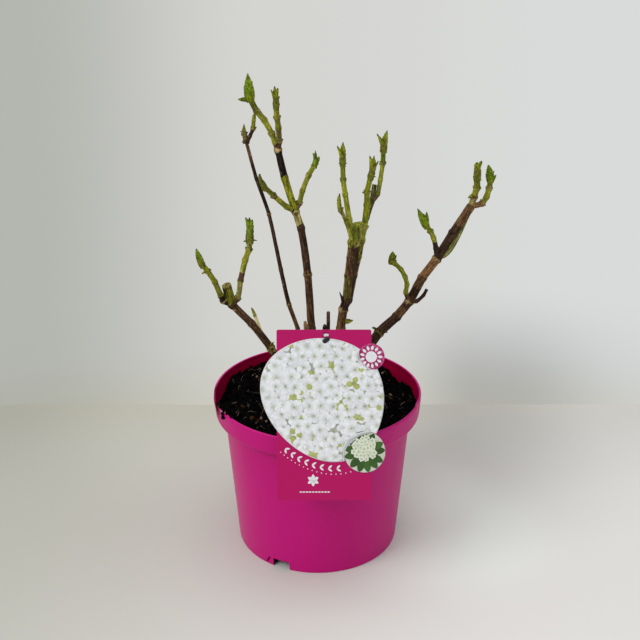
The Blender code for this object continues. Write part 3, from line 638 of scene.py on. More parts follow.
canes = dict(
    cane_left=dict(ringed=(1,), foot=(-16, -8), girth=(4.5, 3.8), headed=True,
        runs=((80, 26, -170), (36, 34, -170), (32, 40, -160)), leaves=((1, 12, 35, -55),),
        zones=((0, "darkBark"), (0.93, "khaki"), (1.06, "brownBark")),
        marks=((0.99, 20, 1.4, 1.6, "nearBlack", -0.3), (2.85, 340, 2.2, 1.6, "tan", 0.3)),
        leafTint=dict(base="khaki", blade="yellowGreen")),
    cane_thin=dict(ringed=(2, 4), foot=(-14, 14), girth=(2.5, 1.85),
        runs=((79, 8, 135), (30, 21, 155), (40, 14, 150), (63, 13, 150), (40, 20, 160), (38, 17, 150)),
        zones=((0, "midBark"), (2.05, "darkBark"), (4.03, "blackBark"), (5.4, "brownBark"))),
    cane_tall=dict(ringed=(2, 4), foot=(-2, 4), girth=(4.5, 3.5), headed=True,
        runs=((85, 4, 140), (63, 4, 150), (51, 8, 165), (19, 18, 170), (37, 18, 165), (30, 13, 160)),
        zones=((0, "brownBark"), (1.9, "midBark"), (2.1, "darkBark"), (3.24, "straw"),
            (4.03, "yellowGreen"), (5.06, "soot"), (5.93, "tan")),
        marks=((3.9, 10, 2.5, 2.2, "midBark", 0.3), (5.97, 355, 2, 2.6, "palePith", 0.2))),
    cane_middle=dict(ringed=(2,), foot=(12, -14), girth=(5.3, 4.1), headed=True,
        runs=((94, 8, 10), (23, 7, -25), (11, 17, 0), (28, 5, -25), (21, 6, -30), (17, 6, -30)),
        leaves=((2, 24, 14, -135), (1, 13.5, 78, -20, 7)),
        zones=((0, "midBark"), (1.97, "blackBark"), (2.5, "darkBark"), (3.1, "oliveBark"),
            (4, "brownBark"), (5.7, "moss")),
        marks=((2.05, 320, 2.4, 2, "tan", 0.4), (3.4, 290, 7, 2.2, "moss", 0.1),
            (5.3, 285, 5, 1.8, "moss", 0.1), (5.8, 12, 2.4, 1.5, "brownBark", 0),
            (2.75, 320, 5, 1.5, "nearBlack", 0.1), (4.3, 270, 8, 2.6, "moss", 0.1),
            (5.3, 60, 5, 2, "brownBark", 0.1)),
        leafTint=dict(base="oliveBark", blade="moss"),
        leafLooks={0: dict(base="soot", blade="soot", broad=0.8, sway=0.03, stain=0, point=2.2),
            1: dict(foot=0.1, peak=0.7, point=5, rise=9 * mm)}),
    cane_right=dict(ringed=(1, 3, 5), foot=(20, 8), girth=(5.4, 4.6),
        runs=((90, 34, 15), (26, 48, 10), (22, 39, 10), (30, 28, 15), (26, 38, 15), (33, 32, 15),
            (34, 34, 15)),
        leaves=((1, 14, 50, -150), (1, 12, 81, -20)),
        zones=((0, "darkBark"), (2.1, "midBark"), (2.6, "darkBark"), (3.6, "midBark"), (4.1, "warmBark"),
            (5, "darkBark"), (6.3, "midBark")),
        marks=((2.96, 320, 3.2, 2.6, "tan", 0.4), (4.96, 330, 2.6, 2.6, "tan", 0.4),
            (6.93, 60, 2.6, 2.8, "tan", 0.3)),
        leafTint=dict(base="darkBark", blade="oliveBark")),
    stem_straight=dict(foot=(11, -41), girth=(1.9, 1.8), runs=((137, 11, -90),), cut="midBark",
        zones=((0, "brownBark"),)),
    stub_pale=dict(foot=(-11, -27), girth=(2.6, 2.4), runs=((103, 5, 100),), cut="palePith",
        zones=((0, "midBark"), (0.85, "tan")), frayed=2.2),
    cane_middle_right=dict(on=("cane_middle", 2), girth=(3.8, 3.5), headed=True,
        runs=((12, 49, 50), (28, 12, 20), (22, 12, -25), (19, 10, -35)),
        zones=((0, "blackBark"), (1.3, "brownBark"), (2, "midBark"), (2.75, "moss")),
        marks=((2.8, 0, 2.6, 2.2, "tan", 0.3), (1.6, 60, 6, 1.6, "moss", 0.1),
            (3.3, 45, 2.2, 1.6, "nearBlack", 0.3))),
    stub_left=dict(on=("cane_left", 3), girth=(4.8, 5), runs=((21, 20, 140),), cut="khaki",
        zones=((0, "olive"), (0.75, "oliveBark"), (0.94, "moss")), slant=0.4,
        marks=((0.72, 305, 5, 3, "blackBark", 0.1), (0.12, 60, 3, 2, "darkBark", 0.1))),
    stub_right_dark=dict(on=("cane_right", 3), girth=(2.2, 1.8), cut="darkBark",
        runs=((9, 97, 20), (10, 54, 20), (8, 34, 30)), zones=((0, "darkBark"),)),
    stem_middle_rear=dict(on=("cane_middle_right", 4), girth=(2.8, 2.5), cut="greyCut",
        runs=((25, 35, 65), (15, 23, 40), (20, 18, 55)), zones=((0, "oliveBark"), (0.8, "greyGreen"))))

# a green shoot that has grown fast to a cane
ridge = dict(
    cane="cane_right", start=5.1, end=6.78, side=(122, 16), height=5.8 * mm, radius=3.2 * mm, rings=60,
    sides=20, colour="greyMoss", foot="straw", marks=())

# Shoots of this spring, with leaves given as the node, length in mm, lean, heading and, for a leaf
# that lies open, its width in mm.
freshBlade = dict(base="freshGreen", blade="leafGreen")
shoots = dict(
    shoot_left_outer=dict(ringed=(1, 4), on=("cane_left", 3), girth=(3, 2.6),
        runs=((10, 60, -165), (7, 26, -135), (19, 23, -135), (15, 30, -150), (10, 34, -145)),
        leaves=((5, 21.5, 20, -140, 8), (5, 17, 15, 165), (5, 12, 14, -90), (4, 8, 106, -155),
            (4, 7, 35, 110)),
        zones=((0, "soot"), (0.9, "tan"), (1.1, "soot"), (2.05, "olive"), (3.1, "freshGreen")),
        leafTint=dict(foot=0.75, point=3.2, teeth=0.09)),
    shoot_left_inner=dict(ringed=(1, 4), on=("cane_left", 3), girth=(2.9, 2.9),
        runs=((9, 58, 40), (19, 20, 60), (22, 26, 60), (12, 24, 35), (9, 20, 75)),
        leaves=((5, 28, 12, 130), (5, 27, 19, 90), (5, 26, 10, 30), (5, 8.5, 86, -150), (5, 8.5, 92, 20),
            (4, 6, 72, -35)),
        zones=((0, "brownBand"), (0.9, "paleGreen"), (1.95, "brownBand"), (2.38, "straw"),
            (2.46, "yellowGreen"), (3.95, "moss")),
        marks=((4.08, 50, 2, 1.7, "nearBlack", 0.2), (4.4, 320, 1.6, 1.6, "straw", 0.5),
            (4.6, 60, 1.6, 1.5, "straw", 0.5), (4.5, 10, 1.2, 1.2, "nearBlack", 0.1)),
        leafTint=dict(stain=0.7, broad=1.2, point=2.3, base="moss", blade="leafGreen", curl=0.02, tip=0.9,
            tipFrom=0.86)),
    shoot_young=dict(on=("cane_left", 1), girth=(2.6, 2), flecks="youngYellow", uneven=0.3,
        runs=((18, 50, 135), (22, 23, 150)), leaves=((2, 12, 23, 150),),
        zones=((0, "khaki"), (0.5, "youngYellow"), (1.95, "yellowGreen")),
        leafTint=dict(base="youngYellow", blade="yellowGreen", stain=0, tip=0.2, broad=0.84, foot=0.9,
            point=2, teeth=0.04, wrinkle=0.1, uneven=0.3)),
    bud_thin=dict(on=("cane_thin", 6), girth=(2.6, 2.9), runs=((2, 12, 170), (10, 12, 170)),
        leaves=((2, 9, 3, 10, 6), (2, 5, 72, -155), (1, 6, 87, -140)),
        zones=((0, "darkBark"), (1.25, "oliveBark"), (1.6, "budTan")),
        leafTint=dict(base="budTan", blade="olive", foot=0.95, point=1.9, teeth=0.05)),
    twig_thin=dict(ringed=(2,), on=("cane_thin", 6), girth=(1.7, 2.1),
        runs=((8, 26, -10), (10, 26, -25), (8, 9, -55)), leaves=((3, 10, 9, -55),),
        zones=((0, "blackBark"), (1.9, "khaki"), (2.15, "yellowGreen"))),
    shoot_tall_left=dict(ringed=(2, 4), on=("cane_tall", 6), girth=(2.6, 3.1),
        runs=((8, 22, 165), (9, 22, 160), (16, 32, 155), (12, 48, 150), (14, 29, 165)),
        leaves=((5, 26, 7, 135, 12), (5, 18, 22, 70), (5, 15, 88, -155, 6.5), (4, 5, 29, -5)),
        zones=((0, "brownBand"), (0.7, "yellowGreen"), (2.9, "olive"), (3.9, "deepGreen")),
        marks=((2.02, 270, 1.2, 1.2, "nearBlack", 0.3), (3.7, 90, 1.3, 1.3, "nearBlack", 0.3),
            (3.45, 265, 1.2, 1.3, "nearBlack", 0.2), (4.1, 330, 2.4, 1.6, "wine", 0.1)),
        leafTint=dict(freshBlade, stain=0.12, tip=0.3, teeth=0.09, foot=0.6, point=2.8)),
    shoot_tall_right=dict(ringed=(1, 3, 4), on=("cane_tall", 6), girth=(2.8, 2.7),
        runs=((10, 19, -65), (14, 5, -110), (11, 13, -120), (12, 9, -105)),
        leaves=((4, 19, 19, -140), (4, 21, 6, -100), (4, 22, 18, -65), (4, 13, 18, 0)),
        zones=((0, "wine"), (1, "budTan"), (1.85, "olive"), (3, "yellowGreen")),
        marks=((0.7, 300, 4, 2, "nearBlack", 0.2), (1.5, 60, 3, 1.6, "lenticel", 0.2),
            (3.02, 270, 1.1, 1.1, "nearBlack", 0.3), (3.05, 90, 1.1, 1.1, "nearBlack", 0.3),
            (3.9, 5, 1.6, 1.4, "straw", 0.2)),
        leafTint=dict(stain=0.5, tip=1)),
    shoot_low_left=dict(ringed=(2, 3), on=("cane_tall", 4), girth=(2.8, 2.7),
        runs=((12, 58, -150), (21, 47, -150), (16, 46, -140)),
        leaves=((3, 18, 23, -140), (3, 13, 32, -105)),
        zones=((0, "nearBlack"), (0.4, "yellowGreen"), (1.85, "brownBand"), (2.1, "olive")),
        leafTint=dict(blade="deepGreen", base="olive")),
    shoot_low_right=dict(ringed=(1, 3), on=("cane_tall", 4), girth=(2.7, 2.4),
        runs=((10, 36, 45), (13, 20, 40), (17, 31, 45), (13, 34, 25)),
        leaves=((4, 15, 10, 135), (4, 16, 14, 75), (4, 12, 26, 10), (4, 6, 86, 25)),
        zones=((0, "midBark"), (0.9, "yellowGreen"), (2.75, "freshGreen")),
        marks=((3.9, 280, 1.2, 1.2, "nearBlack", 0.3),), leafTint=dict(freshBlade, stain=0.2)),
    shoot_middle_left=dict(ringed=(3, 4), on=("cane_middle", 6), girth=(3, 2.4),
        runs=((25, 10, -150), (28, 12, -140), (16, 11, -135), (17, 7, -110)),
        leaves=((4, 21, 20, -145), (4, 22, 3, -130), (4, 18, 10, 40), (4, 5, 82, -35)),
        zones=((0, "lime"), (1.4, "yellowGreen"), (3, "olive")),
        marks=((1.05, 330, 1.4, 1.5, "nearBlack", 0.2),)),
    twig_middle=dict(ringed=(2,), on=("cane_middle", 6), girth=(2.2, 2),
        runs=((26, 24, -130), (16, 30, -135)), leaves=((2, 20, 14, -115), (2, 5, 69, -50)),
        zones=((0, "lime"), (0.7, "olive"), (1.5, "khaki")), leafTint=dict(base="olive", tip=0.4)),
    bud_middle=dict(on=("cane_middle", 6), girth=(2.4, 2.6), runs=((7, 45, -35),),
        leaves=((1, 16, 9, -150, 6.5), (1, 14, 12, 20, 4.5)), zones=((0, "deepGreen"),),
        leafTint=dict(base="olive", blade="deepGreen", stain=0.8, point=3.5)),
    shoot_middle_front=dict(ringed=(1, 3, 4), on=("cane_middle_right", 4), girth=(3.6, 2.8),
        runs=((15, 12, -5), (23, 8, 45), (13, 8, 90), (16, 15, 30)),
        leaves=((4, 24, 2, -175), (4, 22, 16, 55), (4, 19, 26, 15), (3, 7, 96, -165), (4, 7, 99, 35)),
        zones=((0, "lime"), (1.2, "freshGreen"), (3.85, "khaki")),
        marks=((0.95, 270, 1.6, 1.6, "nearBlack", 0.3),), leafTint=dict(stain=0.45)),
    shoot_middle_rear=dict(ringed=(3, 4), on=("stem_middle_rear", 2), girth=(2, 2.6),
        runs=((12, 41, 30), (15, 16, 50), (17, 16, 60), (14, 8, 75)),
        leaves=((4, 22, 9, 40), (4, 20, 24, -165), (4, 6, 123, 20), (4, 6, 105, -160), (3, 4, 80, 0)),
        zones=((0, "midBark"), (0.9, "olive"), (1.6, "yellowGreen"), (2.9, "deepGreen")),
        marks=((3, 60, 1.8, 1.6, "nearBlack", 0.3), (3, 45, 0.8, 0.8, "tan", 0.3)),
        leafTint=dict(point=2.6, broad=1.15)),
    shoot_right_curved=dict(on=("cane_right", 3), girth=(2.5, 2.5),
        runs=((15, 29, -130), (11, 23, -80), (12, 25, -125), (11, 31, -150), (11, 45, -160),
            (4, 52, -160)),
        leaves=((6, 12, 4, -30, 8.5), (6, 9, 36, 10, 4.5), (6, 6, 74, -10, 4)),
        zones=((0, "brownBand"), (0.9, "yellowGreen"), (3.2, "freshGreen"), (4.4, "olive")),
        leafTint=dict(base="olive", blade="deepGreen", foot=0.75, point=4, cup=0.5, stain=0.3)),
    shoot_right_inner=dict(ringed=(3,), on=("cane_right", 5), girth=(2.8, 2.5),
        runs=((14, 17, -115), (14, 22, -135), (9, 28, -150), (9, 39, -160)),
        leaves=((4, 23, 27, -165, 9.5), (4, 17, 3, -70, 6.5), (4, 8, 71, 175), (3, 5, 76, 35)),
        zones=((0, "blackBark"), (1.65, "yellowGreen"), (3, "freshGreen")),
        leafTint=dict(freshBlade, stain=0.35, teeth=0.22, foot=0.6, point=3.2)),
    shoot_right_top_left=dict(ringed=(2, 3), on=("cane_right", 7), girth=(3.5, 3.3),
        runs=((12, 14, -20), (10, 15, -25), (12, 10, -115)),
        leaves=((3, 22, 14, -50), (3, 18, 10, 140), (3, 7, 111, -35), (1, 9, 91, -145)),
        zones=((0, "khaki"), (0.9, "wine"), (1.2, "yellowGreen"), (1.9, "olive")),
        marks=((0.95, 60, 2.4, 2.2, "lenticel", 0.6), (0.7, 70, 1.6, 2, "nearBlack", 0.2)),
        leafTint=dict(stain=0.6, tip=0.6, broad=1.15, point=7)),
    shoot_right_top_right=dict(ringed=(1, 3), on=("cane_right", 7), girth=(3.2, 2.9),
        runs=((14, 80, 20), (8, 39, 25), (10, 21, 40), (9, 7, 50)),
        leaves=((4, 18, 11, -180, 10), (4, 12, 32, 40), (4, 10, 42, -160, 7.5), (4, 10, 42, -35, 7.5)),
        zones=((0, "warmBark"), (0.97, "yellowGreen"), (2.9, "khaki"), (3.3, "olive")),
        leafTint=dict(freshBlade, stain=0.2, tip=0.5, teeth=0.22, foot=0.6, point=3.5)))


# flesh that joins two limbs, each from one place to another
webs = dict(
    cane_middle_right=dict(starts=(("cane_middle", 2.3), ("cane_middle_right", 0.4)), curved=True,
        ends=(("cane_middle", 5.95), ("cane_middle_right", 3.9)), rings=70, sides=24, deep=3.7 * mm,
        past=-1.6 * mm, least=3.7 * mm, colour="darkBark", top="brownBark", marks=()),
    shoot_middle_front=dict(starts=(("cane_middle", 5.5), ("cane_middle_right", 3.5)), curved=False,
        ends=(("shoot_middle_left", 0.86), ("shoot_middle_front", 1.2)), rings=60, sides=40, deep=3.6 * mm,
        past=2.2 * mm, least=3.7 * mm, colour="paleGreen", top="lime",
        marks=((0.22, 12, 2.6, 3, "tan"), (0.24, 25, 1.3, 1.4, "nearBlack"), (0.12, 325, 2.4, 1.3, "soot"),
            (0, 10, 2, 3, "brownBark"), (0.6, 320, 1, 0.8, "darkBark"), (0.8, 315, 0.9, 0.9, "soot"))))


def courseAt(course, place):
    return np.stack([np.interp(place, course["place"], course["centre"][:, axis]) for axis in range(3)], -1)


def grownTube(centre, across, wide, deep, tint, look, seed):
    # Point = centre + (1 + bark noise) * (cos(turn) * deep * front + sin(turn) * wide * across)
    along = unit(np.gradient(centre, axis=0))
    across = unit(across - along * np.sum(across * along, -1, keepdims=True))
    front = np.cross(across, along)
    turn = ringAngles(look["sides"])[None, :]
    arc = arcLength(centre)[:, None]
    x, y = np.sin(turn) * wide[:, None], np.cos(turn) * deep[:, None]
    around = spread(y, x, arc)
    noise = 1 + 0.07 * softNoise(around * (1, 1, 0.16), 1.8 * mm, seed)[..., None]
    points = centre[:, None] + noise * (y[..., None] * front[:, None] + x[..., None] * across[:, None])
    tint = tint * (0.9 + 0.25 * softNoise(around * (1, 1, 0.15), 1.6 * mm, seed + 1)[..., None])
    for share, angle, long, broad, name in look["marks"]:
        cover = patch(arc, turn, wide[:, None], share * arc[-1], angle, long * mm, broad * mm)
        tint = overlaid(tint, name, 0.85 * cover)
    return closedTube(points, tint, around)


def ridgeSurface(course, seed):
    # a tube along the cane's own course, set off to one side; it stands out most a third of the way up
    share = np.linspace(0, 1, ridge["rings"])
    swell = np.sin(np.pi * share ** 0.6)
    radius = ridge["radius"] * (0.35 + 0.65 * swell)
    offset = course["radius"].mean() + ridge["height"] * swell - radius
    centre = courseAt(course, ridge["start"] + (ridge["end"] - ridge["start"]) * share)
    foot = eased(1.2 - share / 0.12)[:, None, None]
    tint = plantColours[ridge["colour"]] * (1 - foot) + plantColours[ridge["foot"]] * foot
    centre = centre + direction(*ridge["side"]) * offset[:, None]
    return grownTube(centre, np.array([1.0, 0, 0]), radius, radius, tint, ridge, seed)


def webSurface(courses, look, seed):
    # an oval tube midway between two lines, as wide as they stand apart, drawn in at both ends
    share = np.linspace(0, 1, look["rings"])
    sides = []
    for (name, low), (other, high) in zip(look["starts"], look["ends"]):
        if look["curved"]:
            sides.append(courseAt(courses[name], low + (high - low) * share))
        else:
            start, end = courseAt(courses[name], low), courseAt(courses[other], high)
            sides.append(start + (end - start) * share[:, None])
    drawn = 0.5 + 0.5 * eased(share / 0.15) * eased((1 - share) / 0.08)
    wide = (norm(sides[1] - sides[0], axis=1) / 2 + look["past"]) * drawn
    deep = look["deep"] * drawn
    top = eased((share - 0.5) / 0.4)[:, None, None]
    tint = plantColours[look["colour"]] * (1 - top) + plantColours[look["top"]] * top
    wide = np.maximum(wide, look["least"] * drawn)
    return grownTube((sides[0] + sides[1]) / 2, sides[1] - sides[0], wide, deep, tint, look, seed)


def limbStart(limb, courses):
    if "foot" in limb:
        return np.array([limb["foot"][0] * mm, limb["foot"][1] * mm, limbRule["footHeight"]])
    carrier, node = limb["on"]
    return courses[carrier]["nodes"][node]


def makePlant():
    barkMaterial = tintedMaterial("bark", barkLook)
    shootMaterial = tintedMaterial("shootSkin", shootLook)
    leafMaterial = tintedMaterial("youngLeaf", leafLook)
    paleMaterial = tintedMaterial("paleShoot", paleLook)
    courses = {}
    for seed, (name, limb) in enumerate({**canes, **shoots}.items()):
        style = wood if name in canes else green
        course = courses[name] = limbCourse(limbStart(limb, courses), limb, style)
        shapes = [limbSurface(limb, course, style, 17 * seed + 3)]
        if name == ridge["cane"]:
            shapes.append(ridgeSurface(course, seed))
        if name in webs:
            shapes.append(webSurface(courses, webs[name], seed))
        skin = barkMaterial if name in canes else shootMaterial
        blade = leafMaterial
        if name == "shoot_young":
            skin = blade = paleMaterial
        newPiece(f"{name}_stem", joined(shapes), [skin], [name], 60)
        growth = leafShapes(limb, course, 17 * seed + 5)
        if style["budded"]:
            growth += stubShapes(limb, course, 17 * seed + 3)
        if growth:
            newPiece(f"{name}_leaves", joined(growth), [blade], [name], 60)
    print(f"plant: {len(canes)} canes and stems, {len(shoots)} shoots")
    return courses


# Pot: a turned wall with rounded edges, two dents in its lip and three drain notches
# In mm and degrees: folds have a heading, half span, how far the lip leans out and sinks, and a depth;
# the painted marks are two painted highlights and two patches of painted shade on the wall, with place, size
# and colour. At the flap the lip shows its inside.

pot = dict(
    rim=115 * mm, height=181 * mm, base=90.7 * mm, bodyTop=103.6 * mm, collar=24 * mm, wall=2 * mm,
    lip=2.6 * mm, step=1.6 * mm, floor=9 * mm, columns=288,
    folds=((-167, 11, 0.6, 3.5, 13), (-16, 7, -1.2, 1.2, 9)), flap=(-177, -158, 9 * mm),
    # painted marks: a painted highlight on the right of the lip, a small painted highlight and painted shade
    # in the dent at the left, and painted shade down the lip's left side
    paintedLights=(((109.5, -31, 172), 6, paint(196, 88, 78)), ((-102.5, -52, 179), 3.4, paint(214, 120, 160)),
        ((-109, -36, 177), 14, paint(84, 14, 26)), ((-113, -8, 181), 24, paint(132, 10, 66))),
    tiltHeading=-72, tilt=1.5 * mm, settled=0.4 * mm, groove=(-126.6, 6.2 * mm, inMm(6, 2, 9.4), -31),
    notchFirst=-116, notchCount=3, notchSize=inMm(16, 20, 10.6), notchRound=1.2 * mm,
    # the inside colour is a darker, redder copy of the plastic: painted shade and painted glow of light
    # through the thin wall
    colour=paint(194, 2, 119), inside=paint(164, 0, 56), dust=paint(96, 60, 52), notchShade=paint(52, 2, 26),
    waviness=0.12 * mm)
shoulder = pot["height"] - pot["collar"]
innerRim = pot["rim"] - pot["step"] - pot["lip"]


def innerWall(height):
    # the radius of the wall's inside below the collar
    return pot["base"] + (pot["bodyTop"] - pot["base"]) / shoulder * height - pot["wall"]


def roundedOutline(corners):
    # corners are (radius, height, rounding); each is replaced by a quadratic curve between its two sides
    flat = np.array([corner[:2] for corner in corners])
    outline = [flat[0]]
    for k in range(1, len(corners) - 1):
        before, here, after = flat[k - 1], flat[k], flat[k + 1]
        size = corners[k][2]
        start = here + (before - here) * min(0.5, size / norm(before - here))
        end = here + (after - here) * min(0.5, size / norm(after - here))
        t = np.linspace(0, 1, 5 if size else 1)[:, None]
        outline.extend((1 - t) ** 2 * start + 2 * t * (1 - t) * here + t ** 2 * end)
    outline.append(flat[-1])
    return np.array(outline)


def filledOutline(outline, longest):
    # the outline with points added so that no side is longer than a given length
    pieces = []
    for start, end in zip(outline[:-1], outline[1:]):
        count = max(1, ceil(norm(end - start) / longest))
        pieces.append(start + (end - start) * np.arange(count)[:, None] / count)
    return np.vstack(pieces + [outline[-1:]])


def potOutline():
    # from the floor's middle up the inside, over the lip, down the collar and body to the foot
    names = "rim", "height", "lip", "step", "wall", "floor", "base", "bodyTop"
    rim, top, lip, step, wall, floor, base, bodyTop = (pot[name] for name in names)
    corners = (
        (0, floor, 0),
        (innerWall(floor), floor, 2.5 * mm),
        (bodyTop - wall, shoulder + 0.4 * mm, 3 * mm),
        (innerRim, shoulder + wall, 2 * mm),
        (rim - lip + 0.5 * mm, top - 1.5 * lip, 1.5 * mm),
        (rim - lip - 0.05 * mm, top, 1.0 * mm),
        (rim, top, 1.2 * mm),
        (rim, top - 1.3 * lip, 1.0 * mm),
        (rim - 0.9 * step, shoulder + wall, 1.5 * mm),
        (rim - 1.6 * step, shoulder, 1.6 * mm),
        (bodyTop + 0.6 * mm, shoulder, 0.6 * mm),
        (bodyTop, shoulder - 1.6 * mm, 1.0 * mm),
        (base + 0.9 * mm, 3.6 * mm, 2.0 * mm),
        (base + 0.5 * mm, 0, 1.0 * mm),
        (0, 0, 0),
    )
    return filledOutline(roundedOutline(corners), 5 * mm)


def turnedSurface(outline, columns):
    # Point = (radius * cos(turn), radius * sin(turn), height), without the two ends of the outline
    turn = ringAngles(columns)[None, :]
    radius, height = outline[1:-1, :1], outline[1:-1, 1:]
    return spread(radius * np.cos(turn), radius * np.sin(turn), height)


def folded(points):
    # The lip leans out and sinks in two places, it stands a little lower on one side, and the whole wall
    # is very slightly out of round. Each grows from nothing lower down to its most at the lip's top.
    radius = np.hypot(points[..., 0], points[..., 1])
    angle = np.arctan2(points[..., 1], points[..., 0])
    push = pot["waviness"] * np.sin(3 * angle + 1) * points[..., 2] / pot["height"]
    raised = eased((points[..., 2] - pot["height"]) / (2 * pot["collar"]) + 1)
    sink = raised * (pot["settled"] + pot["tilt"] * np.cos(angle - radians(pot["tiltHeading"])))
    for heading, *sizes in pot["folds"]:
        span, lean, drop, depth = inMm(*sizes)
        away = (angle - radians(heading) + np.pi) % (2 * np.pi) - np.pi
        high = eased((points[..., 2] - pot["height"] + depth) / depth)
        near = high * np.exp(-(away * pot["rim"] / span) ** 4)
        push, sink = push + lean * near, sink + drop * near ** 1.5
    scale = 1 + np.where(radius > 60 * mm, push / np.maximum(radius, mm), 0)
    return points * spread(scale, scale, 1) - spread(0, 0, sink)


def boxCutter(place, size, turn, rounding, tilt=0):
    # a box with rounded edges, tilted about its own length and turned about the upright
    bpy.ops.mesh.primitive_cube_add(size=1)
    cutter = bpy.context.object
    cutter.location = place
    cutter.rotation_euler = (radians(tilt), 0, turn)
    cutter.scale = size
    bpy.ops.object.transform_apply(location=True, rotation=True, scale=True)
    bevel = cutter.modifiers.new("rounded", "BEVEL")
    bevel.width = rounding
    bevel.segments = 3
    return cutter


def footCutters():
    # the drain notches, half in the foot, and a short slanted groove beside the first
    depth, width, height = pot["notchSize"]
    below, outside = 5 * mm, 8 * mm
    middle = pot["base"] + (outside - depth) / 2
    cutters = []
    for number in range(pot["notchCount"]):
        turn = radians(pot["notchFirst"] + number * 360 / pot["notchCount"])
        place = (middle * cos(turn), middle * sin(turn), (height - below) / 2)
        cutters.append(boxCutter(place, (depth + outside, width, height + below), turn, pot["notchRound"]))
    heading, high, size, tilt = pot["groove"]
    turn = radians(heading)
    place = (pot["base"] * cos(turn), pot["base"] * sin(turn), high)
    return cutters + [boxCutter(place, size, turn, 0.4 * mm, tilt)]


def cutAway(piece, cutters, material=None):
    # the cut faces take the given material
    for cutter in cutters:
        if material:
            cutter.data.materials.append(material)
        change = piece.modifiers.new("cut", "BOOLEAN")
        change.material_mode = "TRANSFER" if material else "INDEX"
        change.operation = "DIFFERENCE"
        change.object = cutter
    bpy.context.view_layer.update()
    graph = bpy.context.evaluated_depsgraph_get()
    piece.data = bpy.data.meshes.new_from_object(piece.evaluated_get(graph))
    piece.modifiers.clear()
    for cutter in cutters:
        bpy.data.objects.remove(cutter, do_unlink=True)


def potMaterial(name, paintColour, gloss):
    # satin plastic: a faint flow pattern, fine grain, scuffs, dust near the lip, and painted highlights and
    # painted shade at given places
    material, tree, shader = newMaterial(name, gloss)
    where = objectPlace(tree)
    height = alongAxes(tree, where)["Z"]
    flow = noiseNode(tree, where, 14, 3, 0.5, (1, 1, 0.35))
    grain = noiseNode(tree, where, 2600, 2, 0.5)
    scuffs = noiseNode(tree, where, 90, 6, 0.7, (1, 1, 6))
    speckle = noiseNode(tree, where, 420, 5, 0.7)
    colour = mixColours(tree, spanNode(tree, flow, 0.3, 0.7, 0, 0.14), paintColour, paintColour * 0.72)
    worn = spanNode(tree, scuffs, 0.64, 0.82, 0, 0.08)
    colour = mixColours(tree, worn, colour, paint(206, 96, 160))
    nearLip = spanNode(tree, height, pot["height"] - 26 * mm, pot["height"], 0, 1)
    dusty = times(tree, spanNode(tree, speckle, 0.64, 0.74, 0, 0.5), nearLip)
    colour = mixColours(tree, dusty, colour, pot["dust"])
    shine = gloss
    ragged = noiseNode(tree, where, 300, 4, 0.6)
    # painted highlights and painted shade at given places, each mark also less glossy
    for place, reach, stain in pot["paintedLights"]:
        size = reach * mm
        away = plusTimes(tree, ragged, -size, distanceFrom(tree, where, inMm(*place)))
        paintedMarkCover = spanNode(tree, away, -0.1 * size, 0.6 * size, 1, 0)
        colour = mixColours(tree, paintedMarkCover, colour, stain)
        shine = times(tree, shine, mathNode(tree, "SUBTRACT", 1, paintedMarkCover))
    wire(tree, shader, colour, mathNode(tree, "ADD", spanNode(tree, flow, 0.3, 0.7, 0.34, 0.44), worn))
    tree.links.new(shine, shader.inputs["Specular IOR Level"])
    linkBump(tree, shader, plusTimes(tree, scuffs, 0.6, grain), 0.16, 0.12 * mm)
    return material


def makePot():
    outline = potOutline()
    shape = closedTube(folded(turnedSurface(outline, pot["columns"]))[::-1])
    isInside = np.arange(len(outline) - 2) < np.argmax(outline[:, 1] > pot["height"] - 0.9 * pot["lip"])
    turn = (np.arange(pot["columns"]) + 0.5) * 360 / pot["columns"] - 360
    start, end, depth = pot["flap"]
    isFlap = (outline[1:-1, 1:] > pot["height"] - depth) & (turn > start) & (turn < end)
    faceRows = (isInside[:, None] | isFlap)[::-1][1:].astype(int)
    faceMaterial = np.concatenate([faceRows.ravel(), np.repeat((0, 1), pot["columns"])])
    # the inner wall and the flap take the darker, redder copy: painted shade and painted glow
    materials = [potMaterial("potPlastic", pot["colour"], 0.2), potMaterial("potInsideGlow", pot["inside"], 0.12)]
    piece = newPiece("pot_shell", shape, materials, ["pot"], 40, faceMaterial)
    notches = footCutters()
    # the notches' cut faces take a near-black wine: painted shade inside the notches
    cutAway(piece, notches[:-1], potMaterial("potNotchShade", pot["notchShade"], 0.05))
    cutAway(piece, notches[-1:])
    piece.data.set_sharp_from_angle(angle=radians(40))
    print("pot:", len(piece.data.polygons), "faces")


# Compost: a lumpy crust, crumbs and dry fibres
# In mm and degrees: hummocks have a heading, distance from the axis, spread and height; edgeHeights the
# heading and height of the crust at the wall; spills a heading, distance, number and drop below the lip.

